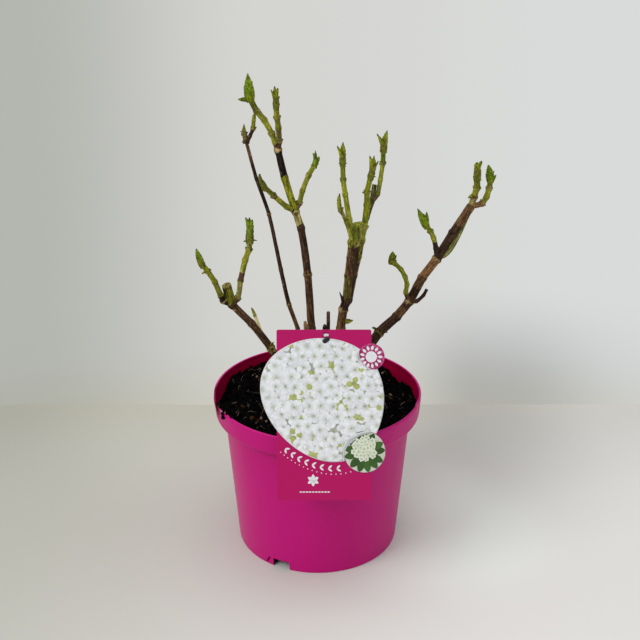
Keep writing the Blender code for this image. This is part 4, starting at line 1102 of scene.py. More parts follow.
soil = dict(
    height=165 * mm, edge=5 * mm, front=7 * mm, level=46 * mm, rings=130, columns=360,
    lumps=(inMm(13, 2.6), inMm(6, 2.4), inMm(2.6, 1.3)), gap=0.3 * mm,
    hummocks=((155, 88, 17, 5), (118, 92, 15, 7), (85, 80, 18, 4), (46, 93, 12, 4), (33, 98, 10, -7),
        (17, 86, 14, 3), (-10, 84, 13, 4), (-35, 90, 15, -3), (-150, 84, 14, -4), (-180, 92, 14, -8)),
    edgeHeights=((-176, 161), (-172, 163), (-169, 171), (-165, 174.5), (-158, 176), (-152, 175),
        (-120, 175.5), (-90, 176), (-60, 175.5), (-30, 172), (-12, 168), (0, 164), (9, 163), (17, 165),
        (24, 163.5), (32, 161), (37, 161.5), (41, 169), (46, 171), (50, 163), (60, 162), (90, 166),
        (118, 173), (131, 169), (154, 172), (160, 169), (163, 162), (172, 161)),
    edgeLumps=2.4 * mm, wallZone=inMm(84, 24), crumbs=3000, crumbKinds=(0.87, 0.11, 0.02),
    crumbSize=inMm(0.7, 4.8), fibres=190, fibreLength=inMm(2.5, 13), dark=paint(4, 3, 3),
    brown=paint(60, 38, 26), pale=paint(122, 104, 84), fibre=paint(150, 136, 116),
    spills=((-165, 112, 10, 0), (-161, 113, 16, 0), (-157, 113.6, 20, 0), (-153, 113.6, 16, 0),
        (-149, 113, 14, 0), (-145, 112.6, 10, 0), (-95, 112.4, 3, 0), (-150.5, 115.6, 40, 5)))


def soilRise(x, y):
    # the source's banked edge and hummocks, on the level crown
    distance = np.hypot(x, y)
    bank = eased((distance - soil["level"]) / (pot["rim"] - soil["level"]))
    front = np.clip(-y, 0, None) / np.maximum(distance, mm)
    rise = bank * (soil["edge"] + soil["front"] * front)
    for heading, *sizes in soil["hummocks"]:
        far, wide, height = inMm(*sizes)
        angle = radians(heading)
        away = np.hypot(x - far * cos(angle), y - far * sin(angle))
        rise = rise + np.sqrt(bank) * height * np.exp(-(away / wide) ** 2)
    return rise


def soilHeight(x, y):
    # height = crown + rise + lumps of three sizes
    flat = spread(x, y, np.zeros_like(x))
    lumps = 0
    for seed, (size, height) in enumerate(soil["lumps"]):
        field = softNoise(flat, size, 40 + seed)
        lumps = lumps + height * (1 - 2 * np.abs(field)) * 0.6
        lumps = lumps + 0.3 * height * softNoise(flat, size * 0.7, 50 + seed)
    inside = soil["height"] + soilRise(x, y) + lumps
    headings, heights = np.array(soil["edgeHeights"]).T
    edge = np.interp(np.degrees(np.arctan2(y, x)), headings, heights, period=360) * mm
    edge = edge + 0.5 * lumps + soil["edgeLumps"] * softNoise(flat, 7 * mm, 60)
    start, width = soil["wallZone"]
    share = eased((np.hypot(x, y) - start) / width)
    return inside + (edge - inside) * share


def soilShape():
    # the top is height(x, y) on a polar grid; the side follows the pot's inner wall down to its floor
    edge = innerRim - soil["gap"]
    turn = ringAngles(soil["columns"])[None, :]
    radius = edge * np.linspace(0.012, 1, soil["rings"])[:, None]
    x, y = radius * np.cos(turn), radius * np.sin(turn)
    top = spread(x, y, soilHeight(x, y))
    low = pot["floor"] + soil["gap"]
    sides = (
        (edge, shoulder + pot["wall"] + 1.2 * mm),
        (pot["bodyTop"] - pot["wall"] - 0.6 * mm, shoulder - mm),
        (innerWall(low) - 1.2 * mm, low + 2.5 * mm),
        (pot["base"] - pot["wall"] - 4 * mm, low),
    )
    rings = [spread(r * np.cos(turn[0]), r * np.sin(turn[0]), z) for r, z in sides]
    return closedTube(np.concatenate([top, rings])[::-1])


def icosahedron():
    # corners are the turns of (0, 1, golden ratio) with either sign; a face joins three neighbours
    golden = (1 + sqrt(5)) / 2
    corners = [(0, s, t * golden) for s in (-1, 1) for t in (-1, 1)]
    points = unit(np.array([np.roll(corner, k) for k in range(3) for corner in corners], float))
    near = norm(points[:, None] - points[None], axis=-1) < 1.1
    faces = [(a, b, c) for a in range(12) for b in range(a + 1, 12) for c in range(b + 1, 12)
             if near[a, b] and near[b, c] and near[a, c]]
    faces = np.array(faces)
    a, b, c = points[faces].swapaxes(0, 1)
    inside = np.sum(np.cross(b - a, c - a) * a, axis=1) < 0
    faces[inside] = faces[inside][:, ::-1]
    return points, faces


def turns(rng, count):
    # random rotations, from random unit quaternions
    w, x, y, z = unit(rng.normal(size=(count, 4))).T
    return np.stack([
        spread(1 - 2 * (y * y + z * z), 2 * (x * y - w * z), 2 * (x * z + w * y)),
        spread(2 * (x * y + w * z), 1 - 2 * (x * x + z * z), 2 * (y * z - w * x)),
        spread(2 * (x * z - w * y), 2 * (y * z + w * x), 1 - 2 * (x * x + y * y)),
    ], 1)


def spilledPlaces(rng):
    # crumbs on the lip and one clod that hangs over it: centres and sizes
    rows = [(radians(heading) + rng.normal(0, 0.014), (far + rng.normal(0, 0.6)) * mm,
             rng.uniform(0.9, 2.4) * mm, drop * rng.uniform(0.1, 1.5) * mm)
            for heading, far, number, drop in soil["spills"] for _ in range(number)]
    angle, far, size, drop = np.array(rows).T
    lip = folded(spread(far * np.cos(angle), far * np.sin(angle), np.full_like(far, pot["height"])))
    return lip + np.array([0, 0, 1]) * (0.3 * size - drop)[:, None], size


def strewn(rng, edge, count):
    # distances and angles spread evenly over a disc
    return edge * np.sqrt(rng.random(count)), rng.uniform(0, 2 * np.pi, count)


def crumbShape(rng, count):
    # each crumb is an uneven icosahedron, stretched and turned at random, half sunk in the crust
    points, faces = icosahedron()
    edge = innerRim - 3 * mm
    distance, angle = strewn(rng, edge, count)
    low, high = soil["crumbSize"]
    size = low + (high - low) * rng.random(count) ** 3
    distance = np.minimum(distance, edge + 2 * mm - size)
    x, y = distance * np.cos(angle), distance * np.sin(angle)
    z = soilHeight(x, y) + 0.25 * size
    spilled, spilledSize = spilledPlaces(rng)
    centres = np.vstack([spread(x, y, z), spilled])
    size, count = np.append(size, spilledSize), len(centres)
    stretch = size[:, None] * rng.uniform(0.5, 1, (count, 3)) * (1, 0.75, 0.6)
    bumps = rng.uniform(0.75, 1.15, (count, 12, 1))
    local = np.einsum("nij,nkj->nki", turns(rng, count), points[None] * bumps * stretch[:, None])
    whole = (local + centres[:, None]).reshape(-1, 3)
    triangles = (faces[None] + 12 * np.arange(count)[:, None, None]).reshape(-1, 3)
    kind = np.repeat(rng.choice(3, count, p=soil["crumbKinds"]), len(faces))
    return {"points": whole, "quads": np.empty((0, 4), int), "triangles": triangles}, kind


def fibreShape(rng, count):
    # thin three-sided tubes that arch over the crust: a curved line in plan, lifted in the middle
    edge = innerRim - 6 * mm
    distance, angle = strewn(rng, edge, count)
    t = np.linspace(-0.5, 0.5, 9)
    low, high = soil["fibreLength"]
    length = rng.uniform(low, high, count)[:, None]
    heading = rng.uniform(0, 2 * np.pi, count)[:, None] + rng.uniform(-1.6, 1.6, count)[:, None] * t
    step = length / (len(t) - 1)
    x = (distance * np.cos(angle))[:, None] + np.cumsum(np.cos(heading) * step, 1)
    y = (distance * np.sin(angle))[:, None] + np.cumsum(np.sin(heading) * step, 1)
    far = np.hypot(x, y)
    inward = np.minimum(1, edge / far)
    x, y = x * inward, y * inward
    lift = rng.uniform(0.4, 3.2, count)[:, None] * mm * (1 - 4 * t ** 2)
    centre = spread(x, y, soilHeight(x, y) + lift)
    along = unit(np.gradient(centre, axis=1))
    up = np.broadcast_to((0.0, 0.0, 1.0), along.shape)
    front = unit(np.cross(along, up) + 1e-9)
    side = np.cross(along, front)
    radius = (rng.uniform(0.07, 0.17, count)[:, None] * mm * (1 - 1.6 * t ** 2))[..., None, None]
    return closedTubes(ringPoints(centre, radius, ringAngles(3), front, side))


def soilMaterial(name, colour, contrast):
    # damp, matt and uneven: the colour with patches of brown and flecks of fibre colour, and a fine bump
    material, tree, shader = newMaterial(name, 0.03)
    where = objectPlace(tree)
    patches = noiseNode(tree, where, 45, 5, 0.65)
    fine = noiseNode(tree, where, 900, 5, 0.7)
    factor = spanNode(tree, patches, 0.55, 0.76, 0, contrast)
    mixed = mixColours(tree, factor, colour, soil["brown"])
    flecks = spanNode(tree, fine, 0.68, 0.76, 0, 0.2 * contrast)
    mixed = mixColours(tree, flecks, mixed, soil["fibre"])
    wire(tree, shader, mixed, spanNode(tree, fine, 0.3, 0.7, 0.75, 0.95))
    linkBump(tree, shader, fine, 0.9, 0.6 * mm)
    return material


def makeSoil():
    rng = np.random.default_rng(5)
    dark = soilMaterial("darkCompost", soil["dark"], 0.2)
    brown = soilMaterial("brownCrumb", soil["brown"], 0.6)
    pale = soilMaterial("paleFleck", soil["pale"], 0.2)
    fibre = soilMaterial("dryFibre", soil["fibre"], 0.3)
    newPiece("compost_crust", soilShape(), [dark], ["soil"], 75)
    crumbs, kind = crumbShape(rng, soil["crumbs"])
    newPiece("compost_crumbs", crumbs, [dark, brown, pale], ["soil"], 35, kind)
    newPiece("compost_fibres", fibreShape(rng, soil["fibres"]), [fibre], ["soil"], 80)
    print("compost:", soil["crumbs"], "crumbs,", soil["fibres"], "fibres")


# Picture label: a die-cut card with a printed panel of white blossom and two round badges

label = dict(
    lean=19, side=6.5 * mm, rise=25.4 * mm, gap=0.3 * mm, size=inMm(95, 173), corner=2 * mm,
    thick=0.8 * mm, panelThick=1 * mm, discThick=1.2 * mm, panelCentre=inMm(1.5, 18.8),
    panelRadii=inMm(59.3, 65.5), panelTurn=43, panelEgg=-0.15, panelInset=0.985, hole=inMm(2.1, 81.1),
    holeSize=inMm(5.7, 3.5), backing=4.6 * mm, badge=inMm(47.4, 59.1, 13.4), posy=inMm(40.8, -37.1, 21.6),
    card=paint(177, 4, 92), white=paint(226, 228, 231), shadow=paint(150, 158, 140),
    under=paint(186, 192, 170), sepals=(paint(170, 178, 104) * 0.8, paint(170, 178, 104) * 1.15),
    leaf=paint(52, 84, 34), ring=paint(150, 24, 88), ringPale=paint(196, 92, 146),
    sky=paint(206, 212, 202), printRise=0.06 * mm, edge=0.15 * mm)


# the card's own axes: x to the right, y up the card, z out of its face
labelTilt = radians(90 - label["lean"])
labelTurn = np.array([[1, 0, 0], [0, cos(labelTilt), -sin(labelTilt)], [0, sin(labelTilt), cos(labelTilt)]])
labelContact = np.array([0, -pot["rim"], pot["height"] - 1 * mm])
labelCentre = labelContact + labelTurn @ np.array([label["side"], label["rise"], label["gap"]])


def onLabel(points):
    return points @ labelTurn.T + labelCentre


def edgeAt(outline, centre, angle):
    # how far the outline is from its centre at an angle
    away = outline - centre
    around = np.arctan2(away[:, 1], away[:, 0])
    order = np.argsort(around)
    return np.interp(angle, around[order], norm(away, axis=1)[order], period=2 * np.pi)


def cardOutline():
    # a rectangle whose corners are quarter circles
    half = np.array(label["size"]) / 2 - label["corner"]
    quarter = np.linspace(0, np.pi / 2, 6)
    outline = []
    for k, (side, end) in enumerate(((1, 1), (-1, 1), (-1, -1), (1, -1))):
        angle = quarter + k * np.pi / 2
        outline.append((side, end) * half + label["corner"] * circle(angle))
    return filledOutline(np.vstack(outline + [outline[0][:1]]), 6 * mm)[:-1], np.zeros(2)


def panelOutline(count=144):
    # an egg: an ellipse whose width grows towards one end
    angle = ringAngles(count)
    along = label["panelRadii"][0] * np.cos(angle)
    across = label["panelRadii"][1] * np.sin(angle) * (1 + label["panelEgg"] * np.cos(angle))
    turn = radians(label["panelTurn"])
    centre = np.array(label["panelCentre"])
    return centre + spread(along * cos(turn) - across * sin(turn),
                           along * sin(turn) + across * cos(turn)), centre


def discOutline(x, y, radius):
    return np.array([x, y]) + radius * circle(ringAngles(72)), np.array([x, y])


def plateShape(outline, centre, back, front, edge):
    # rings drawn in from the outline to its middle, on the back and on the front, with eased edges
    shares = np.array([0.02, 0.3, 0.6, 0.85])
    rings = [(share, 0, back) for share in shares] + [(1, -edge, back), (1, 0, back + edge)]
    rings += [(1, 0, front - edge), (1, -edge, front)] + [(share, 0, front) for share in shares[::-1]]
    away = outline - centre
    length = norm(away, axis=1, keepdims=True)
    points = [np.insert(centre + away * share + away / length * inset, 2, height, axis=1)
              for share, inset, height in rings]
    return closedTube(onLabel(np.array(points)))


def holeCutter():
    # an oval bar through the card
    oval = np.array(label["hole"]) + np.array(label["holeSize"]) / 2 * circle(ringAngles(40))
    rings = [np.insert(oval, 2, z, axis=1) for z in inMm(-4, 4)]
    return linked("holeCutter", newMesh("holeCutter", closedTube(onLabel(np.array(rings)))))


def labelCoordinates(tree):
    # the object's coordinates turned into the card's own
    where = objectPlace(tree)
    inputs = {"Vector": where, "Location": labelCentre, "Rotation": (labelTilt, 0, 0)}
    return addNode(tree, "ShaderNodeMapping", {"vector_type": "TEXTURE"}, inputs).outputs[0]


def cardMaterial():
    # printed plastic card: satin, with a faint roller texture and painted light that makes its top brighter
    material, tree, shader = newMaterial("labelCard", 0.25)
    where = labelCoordinates(tree)
    height = alongAxes(tree, where)["Y"]
    clouds = noiseNode(tree, where, 22, 3, 0.5)
    # brighter towards the top: painted light
    paintedLight = spanNode(tree, height, -86 * mm, 86 * mm, 0.0, 0.12)
    colour = mixColours(tree, paintedLight, label["card"], paint(186, 20, 108))
    colour = mixColours(tree, spanNode(tree, clouds, 0.35, 0.7, 0, 0.12), colour, label["card"] * 0.75)
    wire(tree, shader, colour, spanNode(tree, clouds, 0.3, 0.7, 0.32, 0.42))
    linkBump(tree, shader, noiseNode(tree, where, 1500, 2, 0.5), 0.08, 0.1 * mm)
    return material


def marbledPrint(name, colour, other, scale, share):
    # a printed colour with soft clouds of another
    material, tree, shader = newMaterial(name, 0.3, 0.42)
    clouds = noiseNode(tree, labelCoordinates(tree), scale, 4, 0.6)
    wire(tree, shader, mixColours(tree, spanNode(tree, clouds, 0.4, 0.64, 0, share), colour, other))
    return material


def petalMaterial():
    # the petals' own tint, with fine veins
    material, tree, shader = newMaterial("petalPrint", 0.3, 0.42)
    veins = noiseNode(tree, labelCoordinates(tree), 900, 3, 0.6)
    tint = attributeNode(tree, "tint", "Color")
    wire(tree, shader, scaled(tree, tint, spanNode(tree, veins, 0.35, 0.65, 0.93, 1.03)))
    return material


# five-petalled blossom, printed with a slight relief
flower = dict(
    petals=5, sides=14, spacing=11.6 * mm, length=8.6 * mm, width=8.8 * mm, lift=0.16 * mm,
    levels=0.4 * mm, thick=0.1 * mm, eye=0.6 * mm, eyeColour=paint(126, 132, 122),
    colours=(paint(192, 200, 182), paint(236, 238, 243)), sepals=34)
# a round bunch of small blossom among leaves
posy = dict(
    spacing=4.1 * mm, size=0.36, spread=0.56, lift=0.16,
    colours=(paint(176, 192, 140), paint(226, 232, 214)), leaves=13, leaf=inMm(15, 7.5))
# a printed garland under the panel, a rosette and a short border
sprig = dict(
    reach=7 * mm, start=199, end=292, pairs=15, leaf=inMm(5.2, 2), dotReach=12.5 * mm, dots=27,
    dot=0.55 * mm, rosette=inMm(-11, -66), rosetteLeaf=inMm(6.2, 3.4),
    border=(-78 * mm, -25 * mm, 3 * mm, 10))


def scattered(rng, centre, reach, spacing):
    # flower centres on a jittered lattice of triangles, inside a circle
    count = ceil(reach / spacing) + 1
    column, row = np.meshgrid(np.arange(-count, count + 1), np.arange(-count, count + 1))
    places = spread((column + 0.5 * (row % 2)) * spacing, row * spacing * 0.87).reshape(-1, 2)
    places = places + rng.normal(0, 0.14 * spacing, places.shape)
    return np.array(centre) + places[norm(places, axis=1) < reach]


def petalShape(rng, centres, size, petals, low, high, base):
    # A petal is a closed shallow dome on a polar grid round its own middle: along = length / 2 *
    # (1 + r cos a), across = width / 2 * r sin a * (0.8 + 0.2 cos a), height = lift * (1 - r^2).
    count, sides = len(centres), flower["sides"]
    angle = ringAngles(sides)
    share = np.array([1, 1, 0.62])[:, None]
    turn = rng.uniform(0, 2 * np.pi, (count, 1)) + np.arange(petals) * 2 * np.pi / petals
    turn = turn + rng.normal(0, 0.1, turn.shape)
    scale = (size * rng.uniform(0.85, 1.15, (count, 1)) * rng.uniform(0.9, 1.1, turn.shape))[..., None, None]
    along = flower["length"] / 2 * (1 + share * np.cos(angle)) * scale
    across = flower["width"] / 2 * share * np.sin(angle) * (0.8 + 0.2 * np.cos(angle)) * scale
    level = rng.uniform(0, flower["levels"], (count, 1)) + rng.uniform(0, 0.12 * mm, turn.shape)
    rise = flower["lift"] * (1 - share ** 2) - np.array([flower["thick"], 0, 0])[:, None]
    height = base + level[..., None, None] + rise + 0.015 * along
    way, aside = np.cos(turn)[..., None, None], np.sin(turn)[..., None, None]
    x = centres[:, 0, None, None, None] + along * way - across * aside
    y = centres[:, 1, None, None, None] + along * aside + across * way
    part = eased(along / (flower["length"] * scale) / 0.55)[..., None]
    tint = low + (high - low) * part
    tint = tint * rng.uniform(0.86, 1.0, turn.shape)[..., None, None, None]
    tint = tint * (1 - 0.07 * (across / (flower["width"] / 2 * scale)))[..., None]
    tint = tint * np.array([0.7, 0.9, 1.0])[:, None, None]
    size = (count * petals, 3, sides, 3)
    return spread(x, y, height).reshape(size), tint.reshape(size)


def eyeShape(centres, size, base):
    # a small dot over each flower's middle
    angle = ringAngles(8)
    radius = flower["eye"] * size * np.array([1, 1, 0.5])[:, None] * np.ones(8)
    height = base + flower["levels"] + np.array([0, 0.12, 0.16])[:, None] * mm + 0.1 * mm + 0 * radius
    ring = spread(radius * np.cos(angle), radius * np.sin(angle), height)
    points = ring[None] + np.hstack([centres, np.zeros((len(centres), 1))])[:, None, None]
    return points, np.ones_like(points) * flower["eyeColour"]


def keptClear(centre):
    # the hole and the two badges as ovals: middle and half sizes
    margin = 0.4 * mm
    hole, size = label["hole"], label["holeSize"]
    ovals = [(*hole, size[0] / 2 + margin, size[1] / 2 + margin)]
    for x, y, radius in (label["badge"], label["posy"]):
        if hypot(x - centre[0], y - centre[1]) > mm:
            ovals.append((x, y, radius + 0.1 * mm, radius + 0.1 * mm))
    return ovals


def heldInside(points, outline, centre):
    # points past the outline are drawn back to it, and points over the hole or a badge are pushed off
    flat = points[..., :2] - centre
    limit = edgeAt(outline, centre, np.arctan2(flat[..., 1], flat[..., 0]))
    length = np.maximum(norm(flat, axis=-1), mm)
    flat = flat * np.minimum(1, limit / length)[..., None] + centre
    for x, y, wide, high in keptClear(centre):
        middle = np.array([x, y])
        depth = norm((flat - middle) / (wide, high), axis=-1, keepdims=True)
        depth = np.maximum(depth, 0.05)
        flat = np.where(depth < 1, middle + (flat - middle) / depth, flat)
    return np.concatenate([flat, points[..., 2:]], -1)


def blossomShape(rng, centres, size, petals, colours, base, outline, centre):
    # blossoms with their eyes, as one shape on the card
    points, tint = petalShape(rng, centres, size, petals, *colours, base)
    shapes = [closedTubes(onLabel(heldInside(points, outline, centre)), tint)]
    if petals > 3:
        nearest = norm(outline - centre, axis=1).min()
        inner = centres[norm(centres - centre, axis=1) < 0.9 * nearest]
        points, tint = eyeShape(inner, size, base)
        shapes.append(closedTubes(onLabel(heldInside(points, outline, centre)), tint))
    return joined(shapes)


def leafletShape(x, y, heading, length, width, height):
    # a flat pointed oval: half width = width / 2 * sin(pi * t), a little proud of the card
    t = np.linspace(0.02, 0.98, 12)
    way = circle(radians(heading))
    middle = np.array([x, y]) + way * (t * length)[:, None]
    aside = np.array([-way[1], way[0]]) * (width / 2 * np.sin(np.pi * t) ** 0.8)[:, None]
    low = height - 0.1 * mm
    corners = (1, height), (1, low), (-1, low), (-1, height)
    return np.stack([np.insert(middle + side * aside, 2, z, axis=1) for side, z in corners], 1)


def posyShape(rng):
    # leaves set round the bunch, then the bunch of small blossom, drawn in to the badge's edge
    x, y, radius = label["posy"]
    outline, centre = discOutline(x, y, radius - 0.9 * mm)
    base = label["discThick"] + 0.1 * mm
    length, width = posy["leaf"]
    leaves = []
    for k in range(posy["leaves"]):
        heading = 360 / posy["leaves"] * k + rng.uniform(-8, 8)
        start = centre + 0.3 * radius * circle(radians(heading))
        leaves.append(leafletShape(*start, heading, length, width, base + 0.02 * mm * k))
    leaves = heldInside(np.array(leaves), outline, centre)
    shade = rng.uniform(0.55, 1.5, (len(leaves), 1, 1, 1)) * np.ones_like(leaves)
    shapes = [closedTubes(onLabel(leaves), label["leaf"] * shade)]
    middle = centre + np.array([0, posy["lift"] * radius])
    centres = scattered(rng, middle, posy["spread"] * radius, posy["spacing"])
    bunch = blossomShape(rng, centres, posy["size"], 5, posy["colours"], base + 0.35 * mm, outline, centre)
    return joined(shapes + [bunch])


def panelShape(rng):
    # yellow-green sepals under a field of white blossom
    outline, centre = panelOutline()
    outline = centre + (outline - centre) * label["panelInset"]
    reach = max(label["panelRadii"]) + 3 * mm
    base = label["panelThick"] + 0.12 * mm
    sepals = rng.permutation(scattered(rng, centre, reach, 9 * mm))[:flower["sepals"]]
    centres = scattered(rng, centre, reach, flower["spacing"])
    return joined([
        blossomShape(rng, sepals, 0.9, 3, label["sepals"], base, outline, centre),
        blossomShape(rng, centres, 1, flower["petals"], flower["colours"], base + 0.1 * mm, outline,
                     centre),
    ])


def sprigShape():
    # pairs of leaves and a row of dots along an arc outside the panel's edge, a rosette and a border
    outline, centre = panelOutline(720)
    height = label["thick"] + label["printRise"]
    length, width = sprig["leaf"]
    leaves = []

    def arcPlace(spot, reach):
        turn = radians(spot)
        return centre + (edgeAt(outline, centre, turn) + reach) * circle(turn)

    def fits(place, margin):
        x, y = place
        offset = hypot(x - label["posy"][0], y - label["posy"][1])
        return abs(x) < label["size"][0] / 2 - margin and offset > label["posy"][2] + margin

    for spot in np.linspace(sprig["start"], sprig["end"], sprig["pairs"]):
        place = arcPlace(spot, sprig["reach"])
        if fits(place, 5 * mm):
            leaves += [leafletShape(*place, spot + 90 + lean, length, width, height) for lean in (-38, 38)]
    x, y = sprig["rosette"]
    length, width = sprig["rosetteLeaf"]
    leaves += [leafletShape(x, y, 60 * k + 30, length, width, height) for k in range(6)]
    low, left, right, number = sprig["border"]
    leaves += [leafletShape(x, low, 0, 3.2 * mm, 1.3 * mm, height) for x in np.linspace(left, right, number)]
    spots = np.linspace(sprig["start"], sprig["end"], sprig["dots"])
    places = [arcPlace(spot, sprig["dotReach"]) for spot in spots]
    ring = sprig["dot"] * circle(ringAngles(12))
    low = height - 0.1 * mm
    rings = (0.3, low), (1, low), (1, height), (0.3, height)
    dots = np.array([[np.insert(place + ring * share, 2, z, axis=1) for share, z in rings]
                     for place in places if fits(place, 3 * mm)])
    return joined([closedTubes(onLabel(np.array(leaves))), closedTubes(onLabel(dots))])


def badgeShapes():
    # a sun of short rays round a plain disc
    x, y, radius = label["badge"]
    height = label["discThick"] + label["printRise"]
    rays = [leafletShape(x + 0.5 * radius * cos(a), y + 0.5 * radius * sin(a), degrees(a),
                         0.36 * radius, 0.2 * radius, height) for a in np.linspace(0, 2 * np.pi, 14)[:-1]]
    outline, centre = discOutline(x, y, 0.42 * radius)
    return joined([closedTubes(onLabel(np.array(rays))),
                   plateShape(outline, centre, height - 0.1 * mm, height, 0.02 * mm)])


def cardPiece(name, shape, material):
    return newPiece(name, shape, [material], ["label_card"], 40)


def makeLabel():
    rng = np.random.default_rng(11)
    card = cardMaterial()
    white = marbledPrint("whitePrint", label["white"], label["white"] * 0.85, 300, 0.3)
    rim = marbledPrint("badgeRing", label["ring"], label["ringPale"], 240, 0.9)
    under = marbledPrint("underPrint", label["under"], label["shadow"], 130, 1.0)
    sky = marbledPrint("posySky", label["sky"], label["under"], 90, 0.8)
    petals = petalMaterial()
    x, y, radius = label["posy"]
    outline, centre = panelOutline()
    inner = centre + (outline - centre) * label["panelInset"]
    thin = 0.03 * mm
    plates = (
        ("label_base", cardOutline(), 0, label["thick"], label["edge"], card),
        ("label_panel_edge", (outline, centre), 0.02 * mm, label["panelThick"] - 0.05 * mm, label["edge"],
         white),
        ("label_panel", (inner, centre), label["panelThick"] - 0.1 * mm, label["panelThick"], thin, under),
        ("label_badge", discOutline(*label["badge"]), 0.04 * mm, label["discThick"], label["edge"], rim),
        ("label_posy_edge", discOutline(*label["posy"]), 0.04 * mm, label["discThick"], label["edge"], rim),
        ("label_posy", discOutline(x, y, radius - 0.7 * mm), label["discThick"] - 0.1 * mm,
         label["discThick"] + 0.05 * mm, thin, sky),
    )
    pieces = {name: cardPiece(name, plateShape(*shape, back, front, edge), material)
              for name, shape, back, front, edge, material in plates}
    for name in ("label_base", "label_panel_edge", "label_panel"):
        cutAway(pieces[name], [holeCutter()])
    backing = plateShape(*discOutline(*label["hole"], label["backing"]), -0.25 * mm, -0.03 * mm, thin)
    cardPiece("label_backing", backing, marbledPrint("backingPaper", label["white"], label["white"], 300, 0))
    cardPiece("label_blossom", panelShape(rng), petals)
    cardPiece("label_posy_bunch", posyShape(rng), petals)
    cardPiece("label_garland", sprigShape(), white)
    cardPiece("label_sun", badgeShapes(), white)
    print("label:", len(pieces) + 5, "pieces")


# The tie: a black strap from a head in front of the card, through the hole to an eye on the stem

tie = dict(
    radius=0.6 * mm, head=inMm(8, 5.2, 1.6), headTurn=38, drop=5 * mm, back=5 * mm, eyeWire=0.7 * mm,
    eyeSlack=0.3 * mm, eyeRise=-5 * mm, colour=paint(11, 13, 16), through=-2.2 * mm,
    bead=inMm(4.6, 4.6, 10), beadPlace=inMm(-3.6, -1.4, 4.8))


def smoothCourse(points, count):
    # Catmull-Rom curve through the points
    points = np.asarray(points)
    padded = np.vstack([2 * points[0] - points[1], points, 2 * points[-1] - points[-2]])
    place = np.linspace(0, len(points) - 1 - 1e-9, count)
    k = place.astype(int)
    t = (place - k)[:, None]
    a, b, c, d = padded[k], padded[k + 1], padded[k + 2], padded[k + 3]
    return 0.5 * (2 * b + (c - a) * t + (2 * a - 5 * b + 4 * c - d) * t**2 + (3 * b - a - 3 * c + d) * t**3)


def sweptShape(centre, radius, sides, up):
    # rings of a radius square to the line
    along = unit(np.gradient(centre, axis=0))
    front = unit(np.cross(along, np.broadcast_to(up, along.shape)))
    side = np.cross(along, front)
    return ringPoints(centre, radius, ringAngles(sides), front, side)


def squareBall(size):
    # Point = half size * (cos, sin) of two angles, each to the power 0.75: between a ball and a block
    def bulge(wave):
        return np.sign(wave) * np.abs(wave) ** 0.75
    turn = ringAngles(20)[None, :]
    t = np.linspace(0.04, 0.96, 14)[:, None] * np.pi
    return spread(
        size[0] / 2 * bulge(np.cos(turn)) * np.sin(t), size[1] / 2 * bulge(np.sin(turn)) * np.sin(t),
        -size[2] / 2 * np.cos(t))


def makeTie(courses):
    stem = courses["stem_straight"]
    hole = np.array(label["hole"])
    height = onLabel(np.array([*hole, 0]))[2] + tie["eyeRise"]
    foot, top = stem["nodes"]
    eye = foot + (top - foot) * (height - foot[2]) / (top[2] - foot[2])
    eyeRadius = canes["stem_straight"]["girth"][1] * mm + tie["eyeSlack"] + tie["eyeWire"]
    front = label["discThick"] + tie["radius"]
    low = tie["through"]
    depths = ((-tie["drop"], front), (low - tie["radius"], front), (low, front - tie["radius"]),
              (low, -2 * tie["radius"]))
    route = [onLabel(np.array([hole[0], hole[1] + drop, depth])) for drop, depth in depths]
    inset = onLabel(np.array([hole[0], hole[1] + 1.5 * tie["eyeRise"], -tie["back"]]))
    route += [inset, eye + unit(inset - eye) * (eyeRadius + 0.3 * tie["eyeWire"])]
    strap = closedTube(sweptShape(smoothCourse(route, 60), tie["radius"], 14, labelTurn[:, 0]))

    middle = np.array([hole[0], hole[1] - tie["drop"], front])
    slope = radians(tie["headTurn"])
    across, up = np.array([cos(slope), sin(slope), 0]), np.array([-sin(slope), cos(slope), 0])
    head = closedTube(onLabel(middle + squareBall(tie["head"]) @ np.array([across, up, [0, 0, 1]])))
    bead = closedTube(eye + np.array(tie["beadPlace"]) + squareBall(tie["bead"]))

    axis = unit(top - foot)
    across = unit(np.cross(axis, towardsFront))
    depth = np.cross(axis, across)
    around, thick = 48, 12
    big = ringAngles(around)[:, None, None]
    small = ringAngles(thick)[None, :, None]
    spoke = np.cos(big) * across + np.sin(big) * depth
    points = eye + spoke * (eyeRadius + tie["eyeWire"] * np.cos(small))
    points = points - axis * tie["eyeWire"] * np.sin(small)
    ring = {"points": points.reshape(-1, 3), "triangles": np.empty((0, 3), int),
            "quads": gridFaces(around + 1, thick) % (around * thick)}
    material, tree, shader = newMaterial("tiePlastic", 0.5)
    where = objectPlace(tree)
    grain = noiseNode(tree, where, 1400, 3, 0.6)
    shade = mixColours(tree, spanNode(tree, grain, 0.4, 0.7, 0, 0.4), tie["colour"], tie["colour"] * 2)
    wire(tree, shader, shade, spanNode(tree, grain, 0.3, 0.7, 0.3, 0.45))
    linkBump(tree, shader, grain, 0.2, 0.1 * mm)
    newPiece("label_tie", joined([strap, head, bead, ring]), [material], ["label_strap"], 50)
    print("tie: done")


# Floor, light and camera

